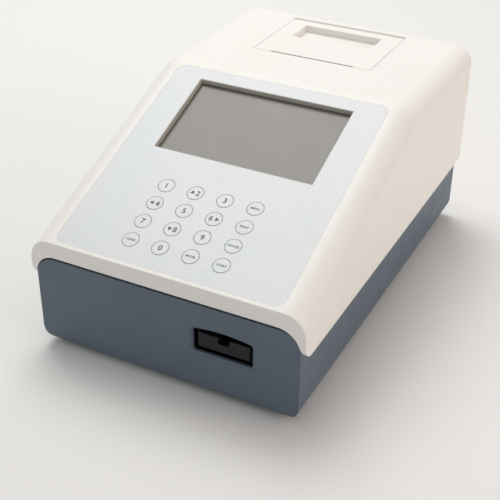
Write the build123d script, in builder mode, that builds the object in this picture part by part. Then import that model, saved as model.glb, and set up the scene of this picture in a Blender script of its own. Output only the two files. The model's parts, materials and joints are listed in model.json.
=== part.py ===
from build123d import *

import os
from math import acos, atan, cos, pi, radians, sin, tan

os.makedirs("parts", exist_ok=True)

# Frame: +Z up, the front faces -Y, +X to the user's right, origin under the middle on the table.

# Overall size
WIDTH = 191.0
DEPTH = 291.0
DECK_HEIGHT = 142.0
LIP_HEIGHT = 80.0
SLOPE_RUN = 166.0
SEAM_HEIGHT = 51.2
FOOT_HEIGHT = 2.3

# Top cover shell
COVER_WALL = 3.0
COVER_FRONT_WALL = 4.0
SHOULDER_RADIUS = 14.5
CREASE_RADIUS = 30.0
COVER_REAR_RADIUS = 4.0
LIP_EDGE_RADIUS = 0.8
SEAM_FRONT_RADIUS = 9.0
SEAM_REAR_RADIUS = 8.0
COVE_DEPTH = 0.5
COVE_HEIGHT = 12.0
BROW_UNDERSIDE = 69.5
BROW_SIDE_WALL = 3.2
BROW_RADIUS = 15.5

# Base tub
TUB_GAP = 0.5
TUB_WALL = 3.0
TUB_TONGUE = 7.5
BROW_TONGUE_RISE = 3.2
BROW_TONGUE_THICKNESS = 1.5
TUB_BOTTOM_RADIUS = 12.0
TUB_FRONT_RADIUS = 7.5
TUB_SETBACK = 0.7
BROW_GAP = 2.2

# Tray slot in the tub's front wall
SLOT_CENTRE_X = 40.2
SLOT_WIDTH = 40.5
SLOT_BOTTOM = 31.8
SLOT_END_HEIGHT = 16.4
SLOT_ARCH_RISE = 1.9
SLOT_CORNER = 1.6
SLOT_CHAMFER = 1.9

# Slope features, measured along the slope from its rear crease
DISPLAY_WIDTH = 114.0
DISPLAY_LENGTH = 68.0
DISPLAY_FROM_CREASE = 14.5
OVERLAY_WIDTH = 157.0
OVERLAY_REAR_MARGIN = 4.5
OVERLAY_FRONT_MARGIN = 2.8
OVERLAY_RADIUS = 6.5
OVERLAY_POCKET = 1.3
OVERLAY_THICKNESS = 0.45
OVERLAY_SUNK = 0.05
OVERLAY_FIT = 0.1
KEY_PITCH_X = 21.0
KEY_PITCH_Y = 15.5
KEYS_BELOW_DISPLAY = 28.7
KEY_RADIUS = 5.4
KEY_HOLE_GAP = 0.3
KEY_CROWN = 0.15
KEY_TRAVEL = 0.3
KEY_EDGE = 0.12
DOME_RADIUS = 4.0
DOME_HEIGHT = 0.4
DOME_TAPER = 60.0
TAIL_SLOT_WIDTH = 17.0
TAIL_SLOT_GAP = 2.4
KEY_NAMES = [
    ["key_1", "key_2", "key_3", "key_menu"],
    ["key_4", "key_5", "key_6", "key_print"],
    ["key_7", "key_8", "key_9", "key_cancel"],
    ["key_clear", "key_0", "key_enter", "key_start"],
]

# Display module under the slope
MODULE_MARGIN = 6.0
GLASS_THICKNESS = 2.8
FRAME_SHEET = 0.6
FRAME_DEPTH = 6.0
FRAME_LIP = 2.0
BOARD_THICKNESS = 1.6
DISPLAY_BOARD_MARGIN_X = 15.5
DISPLAY_BOARD_MARGIN_Y = 14.0
DISPLAY_BOSS_INSET = 3.8
BACKLIGHT_GAP = 0.1
GASKET_THICKNESS = 0.5
GASKET_FIT = 0.05
GASKET_SUNK = 0.3

# Fasteners
BOSS_RADIUS = 3.2
SCREW_RADIUS = 1.25
SCREW_HEAD_RADIUS = 2.5
SCREW_HEAD_HEIGHT = 1.8
SCREW_LENGTH = 6.0
SCREW_FIT = 0.05
RECESS_SPAN = 2.8
RECESS_WIDTH = 0.7
RECESS_DEPTH = 1.0
CASE_SCREW_RADIUS = 1.5
CASE_SCREW_HEAD_RADIUS = 2.8
CASE_SCREW_HEAD_HEIGHT = 2.4
CASE_SCREW_GRIP = 8.0
CASE_SCREW_INSET_X = 14.0
CASE_SCREW_INSET_Y = 41.5
CASE_BOSS_TOP = 47.5
CASE_BOSS_RADIUS = 5.0
CASE_BOSS_BORE = 3.2

# Feet
FOOT_RADIUS = 7.0
FOOT_INSET_X = 22.0
FOOT_INSET_Y = 19.5
FOOT_CHAMFER = 0.6

# Strip tray, its guide and its drive
TRAY_WIDTH = 35.6
TRAY_HEIGHT = 10.3
TRAY_BOTTOM = 34.2
TRAY_LENGTH = 150.0
TRAY_SETBACK = 3.6
TRAY_EDGE = 0.5
GROOVE_WIDTH = 7.6
GROOVE_DEPTH = 4.4
GROOVE_LENGTH = 118.0
PAD_SIZE = 7.6
PAD_THICKNESS = 1.0
PAD_FROM_GROOVE = 5.0
GUIDE_WALL = 2.5
GUIDE_RUNNING_GAP = 0.3
GUIDE_SETBACK = 4.3
GUIDE_LENGTH = 154.0
GUIDE_LIP = 2.0
GUIDE_LIP_THICKNESS = 1.8
GUIDE_LEG = 6.0
GUIDE_LEG_STATIONS = [6.0, 80.0, 144.0]
GEAR_MODULE = 1.0
PINION_TEETH = 18
PINION_FROM_FRONT = 45.0
PINION_THICKNESS = 4.0
RACK_BODY = 2.4
RACK_START = 12.0
GEAR_BACKLASH = 0.16
GEAR_DEPTH_GAP = 0.12
MOTOR_RADIUS = 12.5
MOTOR_HEIGHT = 17.0
MOTOR_SHAFT_RADIUS = 1.25
MOTOR_SHAFT_SEAT = 3.0
MOTOR_PLATE_MARGIN = 3.5
RUNNING_FIT = 0.05

# Read head above the tray
OPTICS_LENGTH = 52.0
OPTICS_HEIGHT = 30.0
OPTICS_WALL = 2.5
OPTICS_FLOOR = 6.0
OPTICS_REAR_MARGIN = 14.0
LENS_RADIUS = 4.0
LED_RADIUS = 1.5
LED_LENGTH = 4.0
LED_SPACING = 12.0
OPTICS_POST_INSET = 4.0

# Main board on the tub floor
MAIN_BOARD_X = [-82.0, 6.0]
MAIN_BOARD_Y = [-96.0, 96.0]
STANDOFF_HEIGHT = 5.0
STANDOFF_INSET = 5.0
PROCESSOR_SIZE = 28.0
PROCESSOR_HEIGHT = 2.6
DRIVER_SIZE = 14.0
DRIVER_HEIGHT = 2.2
DRIVER_SPACING = 44.0
DRIVER_FROM_EDGE = 16.0
BUZZER_RADIUS = 6.0
BUZZER_HEIGHT = 8.0
BUZZER_HOLE = 1.2
BUZZER_FROM_EDGE = 16.0

# Printer well, lid and mechanism, measured along Y from the front seam of the lid
LID_FROM_CREASE = 43.2
LID_WIDTH = 90.6
LID_LENGTH = 73.0
LID_THICKNESS = 3.0
LID_GAP = 0.4
LID_HINGE_RADIUS = 4.0
HINGE_PIN_RADIUS = 1.5
HINGE_PIN_IN_LID = 9.0
HINGE_PIN_IN_EAR = 6.0
EAR_LENGTH = 8.0
EAR_HALF_DEPTH = 4.4
EAR_DROP = 9.0
GRIP_WIDTH = 61.5
GRIP_LENGTH = 25.5
GRIP_DEPTH = 5.0
GRIP_WALL = 1.8
GRIP_FROM_SEAM = 35.3
PAPER_SLOT_WIDTH = 64.0
PAPER_SLOT_GAP = 1.4
LATCH_WIDTH = 4.0
LATCH_THICKNESS = 1.5
LATCH_DROP = 5.5
LATCH_X = 38.6
WELL_WALL = 2.0
WELL_TOP_GAP = 3.0
WELL_TRAY_DEPTH = 17.0
WELL_OVERHANG = 2.0
WELL_FRONT_MARGIN = 4.0
WELL_REAR_MARGIN = 2.0
HINGE_NOTCH_GAP = 0.5
WELL_EAR = 11.0
WELL_EAR_THICKNESS = 3.0
WELL_EAR_DROP = 12.0
WELL_EAR_STATIONS = [12.0, 58.0]
PAPER_WIDTH = 57.5
ROLL_RADIUS = 23.0
ROLL_FROM_SEAM = 47.5
ROLL_POCKET_GAP = 1.5
ROLL_SIDE_GAP = 0.75
ROLL_REST_GAP = 0.35
CORE_RADIUS = 6.5
CORE_BORE = 5.0
PLATEN_RADIUS = 4.8
PLATEN_FROM_SEAM = 9.0
PLATEN_DROP = 10.0
PLATEN_SHAFT_RADIUS = 1.5
CHEEK_X = 34.0
CHEEK_THICKNESS = 2.0
CHEEK_HEIGHT = 11.0
PRINTER_BASE = 2.0
PRINTER_LENGTH = 26.0
PRINTER_FRONT_MARGIN = 1.2
HEAD_THICKNESS = 4.6
HEAD_GAP = 0.35
PRINTER_GEAR_MODULE = 0.5
PLATEN_GEAR_TEETH = 22
FEED_GEAR_TEETH = 24
PRINTER_GEAR_WIDTH = 2.5
PRINTER_GEAR_X = 37.0
FEED_MOTOR_RADIUS = 5.4
FEED_MOTOR_LENGTH = 24.0
FEED_SHAFT_RADIUS = 0.75

# Rear connections, in the tub's rear wall
PORT_HEIGHT = 30.0
JACK_X = 62.0
JACK_SIZE = 11.0
JACK_BORE = 3.1
JACK_PIN = 1.0
JACK_DEPTH = 13.0
SERIAL_X = 22.0
SERIAL_SHELL = [16.9, 8.4]
SERIAL_FLANGE = [30.8, 12.5]
SERIAL_DEPTH = 6.0
SERIAL_PROUD = 2.6
SERIAL_ANGLE = 80.0
SERIAL_CORNER = 1.5
SERIAL_PIN_RADIUS = 0.55
SERIAL_PIN_PITCH = 2.77
SERIAL_PIN_ROWS = 2.84
SWITCH_X = -62.0
SWITCH_WIDTH = 13.0
SWITCH_HEIGHT = 19.4
SWITCH_DEPTH = 14.0
SWITCH_BEZEL = 1.5
SWITCH_BEZEL_MARGIN = 1.4
SWITCH_FLOOR = 3.0
ROCKER_WIDTH = 9.4
ROCKER_HALF_HEIGHT = 6.8
ROCKER_REACH = 2.4
ROCKER_DIP = 0.9
ROCKER_ROOT = 3.0
ROCKER_GAP = 0.3
ROCKER_TILT = 8.0
ROCKER_PIVOT_RADIUS = 1.0
ROCKER_PIVOT_END = 0.8
CUTOUT_GAP = 0.2

# Flat cables
CABLE_THICKNESS = 0.8
CABLE_BEND = 5.0
TAIL_WIDTH = 14.0
TAIL_X = -66.0
TAIL_DROP = 14.0
TAIL_ABOVE_KEYS = 11.75
RIBBON_WIDTH = 24.0
RIBBON_X = -38.0
RIBBON_DROP = 10.0
RIBBON_INSET = 12.0
RIBBON_SET_BACK = 22.0
PLUG_HEIGHT = 7.0
PLUG_LENGTH = 5.0
PLUG_MARGIN = 2.0

# How far a cutting shape runs past the face it cuts
CUT = 1.0

# Derived places
HALF = WIDTH / 2
FRONT = -DEPTH / 2
REAR = DEPTH / 2
THETA = atan((DECK_HEIGHT - LIP_HEIGHT) / SLOPE_RUN)
CREASE_Y = FRONT + SLOPE_RUN
SLOPE_LENGTH = (DECK_HEIGHT - LIP_HEIGHT) / sin(THETA)
SLOPE = Plane(origin=(0, CREASE_Y, DECK_HEIGHT), x_dir=(1, 0, 0), z_dir=(0, -sin(THETA), cos(THETA)))
VOID_HALF = HALF - COVER_WALL
TUB_HALF = VOID_HALF - TUB_GAP
TUB_FRONT = FRONT + TUB_SETBACK
TUB_FRONT_INSIDE = FRONT + COVER_FRONT_WALL + TUB_GAP
TUB_REAR = REAR - COVER_WALL - TUB_GAP
TUB_BOTTOM = FOOT_HEIGHT
TUB_FLOOR = TUB_BOTTOM + TUB_WALL
TUB_TOP = SEAM_HEIGHT + TUB_TONGUE


def finish(builder, name):
    """Label a finished piece and write it under its node name."""
    builder.part.label = name
    export_step(builder.part, f"parts/{name}.step")


def across(y):
    """Upright plane at depth y whose normal points to the front."""
    return Plane.XZ.offset(-y)


def slope_point(v, n):
    """(y, z) of a point v along the slope from the crease and n out from it."""
    return (CREASE_Y + v * cos(THETA) - n * sin(THETA), DECK_HEIGHT + v * sin(THETA) + n * cos(THETA))


def slope_height(y, depth=0.0):
    """Height of the line that runs depth under the slope, at depth position y."""
    return DECK_HEIGHT + (y - CREASE_Y) * tan(THETA) - depth / cos(THETA)


def crease_point(depth):
    """(y, z) where the lines that run depth under the slope and under the deck meet."""
    return (CREASE_Y + depth * tan(THETA / 2), DECK_HEIGHT - depth)


def grid(centre, span_x, span_y, count_x=2, count_y=2):
    """Points of a grid round a centre, its outer points a span apart."""
    return [
        (centre[0] + span_x * (i / (count_x - 1) - 0.5), centre[1] + span_y * (j / (count_y - 1) - 0.5))
        for i in range(count_x)
        for j in range(count_y)
    ]


def placed(points, centre, turn=0.0):
    """Points turned by an angle in degrees and moved to a centre."""
    c, s = cos(radians(turn)), sin(radians(turn))
    return [(centre[0] + x * c - y * s, centre[1] + x * s + y * c) for x, y in points]


def involute(angle_cos):
    """Involute function of the pressure angle with this cosine."""
    angle = acos(angle_cos)
    return tan(angle) - angle


def gear_outline(teeth, module):
    """Corner points of a spur gear with one tooth on the +X axis, thinned by the backlash."""
    pitch_r = teeth * module / 2
    base_r = pitch_r * cos(radians(20))
    root_r = pitch_r - 1.25 * module
    tip_r = pitch_r + module
    half_pitch = (pi * module / 2 - GEAR_BACKLASH * module) / (2 * pitch_r)
    start_r = max(base_r, root_r)
    half_at = lambda r: half_pitch + involute(base_r / pitch_r) - involute(min(1.0, base_r / r))
    radii = [start_r, (start_r + pitch_r) / 2, pitch_r, (pitch_r + tip_r) / 2, tip_r]
    points = []
    for tooth in range(teeth):
        middle = 2 * pi * tooth / teeth
        flank = [(root_r, -half_at(start_r))] + [(r, -half_at(r)) for r in radii]
        flank = flank + [(r, -angle) for r, angle in reversed(flank)]
        points += [(r * cos(middle + angle), r * sin(middle + angle)) for r, angle in flank]
    return points


SCREW_PLACES = grid((0, 0), 2 * (TUB_HALF - CASE_SCREW_INSET_X), DEPTH - 2 * CASE_SCREW_INSET_Y)
FOOT_PLACES = grid(
    (0, (TUB_FRONT + TUB_REAR) / 2),
    2 * (TUB_HALF - FOOT_INSET_X),
    TUB_REAR - TUB_FRONT - 2 * FOOT_INSET_Y,
)

# Top cover: a five-sided shell whose shoulders run up the slope and along the deck.
with BuildPart() as cover_void:
    with BuildSketch(Plane.YZ):
        with BuildLine():
            FilletPolyline(
                (FRONT + COVER_FRONT_WALL, 0),
                (FRONT + COVER_FRONT_WALL, slope_height(FRONT + COVER_FRONT_WALL, COVER_WALL)),
                crease_point(COVER_WALL),
                (REAR - COVER_WALL, DECK_HEIGHT - COVER_WALL),
                (REAR - COVER_WALL, 0),
                radius=[0, 0, CREASE_RADIUS - COVER_WALL, 0, 0],
                close=True,
            )
        make_face()
    extrude(amount=VOID_HALF, both=True)
    shoulder = cover_void.edges().filter_by(
        lambda e: abs(abs(e.center().X) - VOID_HALF) < 0.01
        and e.center().Z > LIP_HEIGHT
        and e.center().Y < REAR - COVER_WALL - 1
    )
    fillet(shoulder, SHOULDER_RADIUS - COVER_WALL)

LID_FRONT = CREASE_Y + LID_FROM_CREASE
LID_REAR = LID_FRONT + LID_LENGTH
HINGE_Y = LID_REAR - LID_GAP - LID_HINGE_RADIUS
HINGE_Z = DECK_HEIGHT - LID_HINGE_RADIUS
DISPLAY_V = -DISPLAY_FROM_CREASE - DISPLAY_LENGTH / 2
BOARD_HALF_X = DISPLAY_WIDTH / 2 + DISPLAY_BOARD_MARGIN_X
BOARD_HALF_V = DISPLAY_LENGTH / 2 + DISPLAY_BOARD_MARGIN_Y
DISPLAY_SCREWS = grid(
    (0, DISPLAY_V), 2 * (BOARD_HALF_X - DISPLAY_BOSS_INSET), 2 * (BOARD_HALF_V - DISPLAY_BOSS_INSET)
)
OVERLAY_LENGTH = SLOPE_LENGTH - OVERLAY_REAR_MARGIN - OVERLAY_FRONT_MARGIN
OVERLAY_V = -OVERLAY_REAR_MARGIN - OVERLAY_LENGTH / 2
KEY_ROW_V = -DISPLAY_FROM_CREASE - DISPLAY_LENGTH - KEYS_BELOW_DISPLAY
TAIL_V = KEY_ROW_V + TAIL_ABOVE_KEYS
WELL_EAR_TOP = DECK_HEIGHT - WELL_EAR_DROP
WELL_HALF = LID_WIDTH / 2 - WELL_OVERHANG
WELL_EAR_PLACES = [
    (side * (WELL_HALF + WELL_EAR / 2), LID_FRONT + station)
    for side in (-1, 1)
    for station in WELL_EAR_STATIONS
]

with BuildPart() as cover_bosses:
    for x, y in SCREW_PLACES:
        with BuildSketch(Plane.XY.offset(CASE_BOSS_TOP)):
            with Locations((x, y)):
                Circle(CASE_BOSS_RADIUS)
        extrude(amount=DECK_HEIGHT - CASE_BOSS_TOP)
    with BuildSketch(Plane.XY.offset(WELL_EAR_TOP)):
        with Locations(*WELL_EAR_PLACES):
            Circle(BOSS_RADIUS)
    extrude(amount=WELL_EAR_DROP)
    with BuildSketch(Plane.XY.offset(DECK_HEIGHT - EAR_DROP)):
        with Locations(*[(side * (LID_WIDTH / 2 + EAR_LENGTH / 2), HINGE_Y) for side in (-1, 1)]):
            Rectangle(EAR_LENGTH, 2 * EAR_HALF_DEPTH)
    extrude(amount=EAR_DROP)
    with BuildSketch(SLOPE.offset(-COVER_WALL - FRAME_DEPTH)):
        with Locations(*DISPLAY_SCREWS):
            Circle(BOSS_RADIUS)
    extrude(amount=FRAME_DEPTH + COVER_WALL / 2)
    with BuildSketch(Plane.YZ):
        with BuildLine():
            FilletPolyline(
                (FRONT, 0),
                (FRONT, slope_height(FRONT, COVER_WALL / 2)),
                crease_point(COVER_WALL / 2),
                (REAR, DECK_HEIGHT - COVER_WALL / 2),
                (REAR, 0),
                radius=[0, 0, CREASE_RADIUS - COVER_WALL / 2, 0, 0],
                close=True,
            )
        make_face()
    extrude(amount=HALF, both=True, mode=Mode.INTERSECT)

with BuildPart() as top_cover:
    with BuildSketch(Plane.YZ):
        with BuildLine():
            FilletPolyline(
                (FRONT, 0),
                (FRONT, LIP_HEIGHT),
                crease_point(0),
                (REAR, DECK_HEIGHT),
                (REAR, 0),
                radius=[0, 0, CREASE_RADIUS, 0, 0],
                close=True,
            )
        make_face()
    extrude(amount=HALF, both=True)
    shoulder = top_cover.edges().filter_by(
        lambda e: abs(abs(e.center().X) - HALF) < 0.01
        and e.center().Z > LIP_HEIGHT
        and e.center().Y < REAR - 1
    )
    fillet(shoulder, SHOULDER_RADIUS)
    rear_edges = top_cover.faces().sort_by(Axis.Y)[-1].edges().filter_by(lambda e: e.center().Z > 1)
    fillet(rear_edges, COVER_REAR_RADIUS)
    lip_edges = top_cover.faces().sort_by(Axis.Y)[0].edges().filter_by(lambda e: e.center().Z > 1)
    fillet(lip_edges, LIP_EDGE_RADIUS)
    # The seam line, with its rounded ends.
    with BuildSketch(Plane.YZ):
        with BuildLine():
            FilletPolyline(
                (FRONT, SEAM_HEIGHT),
                (FRONT, 2 * DECK_HEIGHT),
                (REAR, 2 * DECK_HEIGHT),
                (REAR, SEAM_HEIGHT),
                radius=[SEAM_FRONT_RADIUS, 0, 0, SEAM_REAR_RADIUS],
                close=True,
            )
        make_face()
    extrude(amount=HALF, both=True, mode=Mode.INTERSECT)
    # A shallow cove under each shoulder.
    cove_depth = SHOULDER_RADIUS + COVE_HEIGHT / 2
    for side in (-1, 1):
        with BuildLine(Plane.YZ.offset(side * HALF)) as cove_path:
            FilletPolyline(
                (FRONT - SHOULDER_RADIUS, slope_height(FRONT - SHOULDER_RADIUS, cove_depth)),
                crease_point(cove_depth),
                (REAR + SHOULDER_RADIUS, DECK_HEIGHT - cove_depth),
                radius=CREASE_RADIUS - cove_depth,
            )
        with BuildSketch(Plane(origin=cove_path.line @ 0, x_dir=(1, 0, 0), z_dir=cove_path.line % 0)):
            with BuildLine():
                ThreePointArc((0, -COVE_HEIGHT / 2), (-side * COVE_DEPTH, 0), (0, COVE_HEIGHT / 2))
                Polyline(
                    (0, COVE_HEIGHT / 2),
                    (side * COVER_WALL, COVE_HEIGHT / 2),
                    (side * COVER_WALL, -COVE_HEIGHT / 2),
                    (0, -COVE_HEIGHT / 2),
                )
            make_face()
        sweep(path=cove_path.line, mode=Mode.SUBTRACT)
    add(cover_void.part, mode=Mode.SUBTRACT)
    # The mouth over the tub's front wall.
    with BuildSketch(across(FRONT + COVER_FRONT_WALL + 1)):
        with BuildLine():
            FilletPolyline(
                (-HALF + BROW_SIDE_WALL, 0),
                (-HALF + BROW_SIDE_WALL, BROW_UNDERSIDE),
                (HALF - BROW_SIDE_WALL, BROW_UNDERSIDE),
                (HALF - BROW_SIDE_WALL, 0),
                radius=[0, BROW_RADIUS, BROW_RADIUS, 0],
                close=True,
            )
        make_face()
    extrude(amount=COVER_FRONT_WALL + 2, mode=Mode.SUBTRACT)
    add(cover_bosses.part)
    # Overlay pocket, display window and tail slot.
    with BuildSketch(SLOPE):
        with Locations((0, OVERLAY_V)):
            RectangleRounded(OVERLAY_WIDTH, OVERLAY_LENGTH, OVERLAY_RADIUS)
    extrude(amount=-OVERLAY_POCKET, mode=Mode.SUBTRACT)
    with BuildSketch(SLOPE):
        with Locations((0, DISPLAY_V)):
            Rectangle(DISPLAY_WIDTH, DISPLAY_LENGTH)
        with Locations((TAIL_X, TAIL_V)):
            Rectangle(TAIL_SLOT_WIDTH, TAIL_SLOT_GAP)
    extrude(amount=-2 * COVER_WALL, mode=Mode.SUBTRACT)
    # Lid opening and the ears' pin bores.
    with BuildSketch(Plane.XY.offset(DECK_HEIGHT)):
        with Locations((0, LID_FRONT + LID_LENGTH / 2)):
            Rectangle(LID_WIDTH, LID_LENGTH)
    extrude(amount=-2 * COVER_WALL, mode=Mode.SUBTRACT)
    with BuildSketch(Plane.YZ):
        with Locations((HINGE_Y, HINGE_Z)):
            Circle(HINGE_PIN_RADIUS + SCREW_FIT)
    extrude(amount=LID_WIDTH / 2 + HINGE_PIN_IN_EAR, both=True, mode=Mode.SUBTRACT)
    # Pilot holes in the bosses.
    for x, y in SCREW_PLACES:
        with BuildSketch(Plane.XY.offset(CASE_BOSS_TOP)):
            with Locations((x, y)):
                Circle(CASE_SCREW_RADIUS + SCREW_FIT)
        extrude(amount=CASE_SCREW_GRIP + 1, mode=Mode.SUBTRACT)
    with BuildSketch(Plane.XY.offset(WELL_EAR_TOP)):
        with Locations(*WELL_EAR_PLACES):
            Circle(SCREW_RADIUS + SCREW_FIT)
    extrude(amount=SCREW_LENGTH, mode=Mode.SUBTRACT)
    with BuildSketch(SLOPE.offset(-COVER_WALL - FRAME_DEPTH)):
        with Locations(*DISPLAY_SCREWS):
            Circle(SCREW_RADIUS + SCREW_FIT)
    extrude(amount=SCREW_LENGTH, mode=Mode.SUBTRACT)
finish(top_cover, "top_cover")

# Membrane keypad: circuit layer, snap domes, graphic overlay and the sixteen key caps.
KEY_CENTRES = [
    [(KEY_PITCH_X * (column - 1.5), KEY_ROW_V - KEY_PITCH_Y * row) for column in range(4)]
    for row in range(4)
]
ALL_KEYS = [centre for row in KEY_CENTRES for centre in row]
OVERLAY_BACK = -OVERLAY_SUNK - OVERLAY_THICKNESS
KEY_WELL = OVERLAY_BACK - KEY_TRAVEL - OVERLAY_SUNK

with BuildPart() as switch_layer:
    with BuildSketch(SLOPE.offset(-OVERLAY_POCKET)):
        with Locations((0, OVERLAY_V)):
            RectangleRounded(
                OVERLAY_WIDTH - 2 * OVERLAY_FIT,
                OVERLAY_LENGTH - 2 * OVERLAY_FIT,
                OVERLAY_RADIUS - OVERLAY_FIT,
            )
        with Locations((0, DISPLAY_V)):
            Rectangle(DISPLAY_WIDTH, DISPLAY_LENGTH, mode=Mode.SUBTRACT)
    extrude(amount=OVERLAY_POCKET + OVERLAY_BACK)
    with BuildSketch(SLOPE.offset(OVERLAY_BACK)):
        with Locations(*ALL_KEYS):
            Circle(KEY_RADIUS + KEY_HOLE_GAP)
    extrude(amount=KEY_WELL - OVERLAY_BACK, mode=Mode.SUBTRACT)
    with BuildSketch(SLOPE.offset(OVERLAY_BACK)):
        with Locations(*ALL_KEYS):
            Circle(DOME_RADIUS + KEY_HOLE_GAP)
    extrude(amount=-OVERLAY_POCKET, mode=Mode.SUBTRACT)
finish(switch_layer, "switch_layer")

with BuildPart() as snap_domes:
    with BuildSketch(SLOPE.offset(-OVERLAY_POCKET)):
        with Locations(*ALL_KEYS):
            Circle(DOME_RADIUS)
    extrude(amount=DOME_HEIGHT, taper=DOME_TAPER)
finish(snap_domes, "snap_domes")

with BuildPart() as membrane_overlay:
    with BuildSketch(SLOPE.offset(OVERLAY_BACK)):
        with Locations((0, OVERLAY_V)):
            RectangleRounded(
                OVERLAY_WIDTH - 2 * OVERLAY_FIT,
                OVERLAY_LENGTH - 2 * OVERLAY_FIT,
                OVERLAY_RADIUS - OVERLAY_FIT,
            )
        with Locations((0, DISPLAY_V)):
            Rectangle(DISPLAY_WIDTH, DISPLAY_LENGTH, mode=Mode.SUBTRACT)
        with Locations(*ALL_KEYS):
            Circle(KEY_RADIUS + KEY_HOLE_GAP, mode=Mode.SUBTRACT)
    extrude(amount=OVERLAY_THICKNESS)
finish(membrane_overlay, "membrane_overlay")

for names, centres in zip(KEY_NAMES, KEY_CENTRES):
    for name, centre in zip(names, centres):
        with BuildPart() as key_cap:
            with BuildSketch(SLOPE.offset(OVERLAY_BACK)):
                with Locations(centre):
                    Circle(KEY_RADIUS)
            extrude(amount=OVERLAY_THICKNESS + KEY_CROWN)
            chamfer(key_cap.faces().filter_by(SLOPE).sort_by(Axis.Z)[-1].edges(), KEY_EDGE)
        finish(key_cap, name)

# Display module: glass in a steel frame on a circuit board, with a foam gasket up to the film.
FRAME_FRONT = -COVER_WALL
FRAME_BACK = -COVER_WALL - FRAME_DEPTH
with BuildPart() as display_frame:
    with BuildSketch(SLOPE.offset(FRAME_BACK)):
        with Locations((0, DISPLAY_V)):
            Rectangle(DISPLAY_WIDTH + 2 * MODULE_MARGIN, DISPLAY_LENGTH + 2 * MODULE_MARGIN)
    extrude(amount=FRAME_DEPTH)
    with BuildSketch(SLOPE.offset(FRAME_BACK)):
        with Locations((0, DISPLAY_V)):
            Rectangle(
                DISPLAY_WIDTH + 2 * (MODULE_MARGIN - FRAME_SHEET),
                DISPLAY_LENGTH + 2 * (MODULE_MARGIN - FRAME_SHEET),
            )
    extrude(amount=FRAME_DEPTH - FRAME_SHEET, mode=Mode.SUBTRACT)
    with BuildSketch(SLOPE.offset(FRAME_FRONT)):
        with Locations((0, DISPLAY_V)):
            Rectangle(DISPLAY_WIDTH + 2 * FRAME_LIP, DISPLAY_LENGTH + 2 * FRAME_LIP)
    extrude(amount=-2 * FRAME_SHEET, mode=Mode.SUBTRACT)
finish(display_frame, "display_frame")

with BuildPart() as display_glass:
    with BuildSketch(SLOPE.offset(FRAME_FRONT - FRAME_SHEET)):
        with Locations((0, DISPLAY_V)):
            Rectangle(
                DISPLAY_WIDTH + 2 * (MODULE_MARGIN - 2 * FRAME_SHEET),
                DISPLAY_LENGTH + 2 * (MODULE_MARGIN - 2 * FRAME_SHEET),
            )
    extrude(amount=-GLASS_THICKNESS)
finish(display_glass, "display_glass")

with BuildPart() as display_gasket:
    with BuildSketch(SLOPE.offset(FRAME_FRONT - FRAME_SHEET)):
        with Locations((0, DISPLAY_V)):
            Rectangle(DISPLAY_WIDTH - 2 * GASKET_FIT, DISPLAY_LENGTH - 2 * GASKET_FIT)
            Rectangle(
                DISPLAY_WIDTH - 2 * (GASKET_FIT + GASKET_THICKNESS),
                DISPLAY_LENGTH - 2 * (GASKET_FIT + GASKET_THICKNESS),
                mode=Mode.SUBTRACT,
            )
    extrude(amount=FRAME_SHEET - FRAME_FRONT - GASKET_SUNK)
finish(display_gasket, "display_gasket")

with BuildPart() as display_backlight:
    with BuildSketch(SLOPE.offset(FRAME_BACK)):
        with Locations((0, DISPLAY_V)):
            Rectangle(
                DISPLAY_WIDTH + 2 * (MODULE_MARGIN - 2 * FRAME_SHEET),
                DISPLAY_LENGTH + 2 * (MODULE_MARGIN - 2 * FRAME_SHEET),
            )
    extrude(amount=FRAME_DEPTH - FRAME_SHEET - GLASS_THICKNESS - BACKLIGHT_GAP)
finish(display_backlight, "display_backlight")

with BuildPart() as display_board:
    with BuildSketch(SLOPE.offset(FRAME_BACK)):
        with Locations((0, DISPLAY_V)):
            Rectangle(2 * BOARD_HALF_X, 2 * BOARD_HALF_V)
        with Locations(*DISPLAY_SCREWS):
            Circle(SCREW_RADIUS + SCREW_FIT, mode=Mode.SUBTRACT)
    extrude(amount=-BOARD_THICKNESS)
finish(display_board, "display_board")

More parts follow.
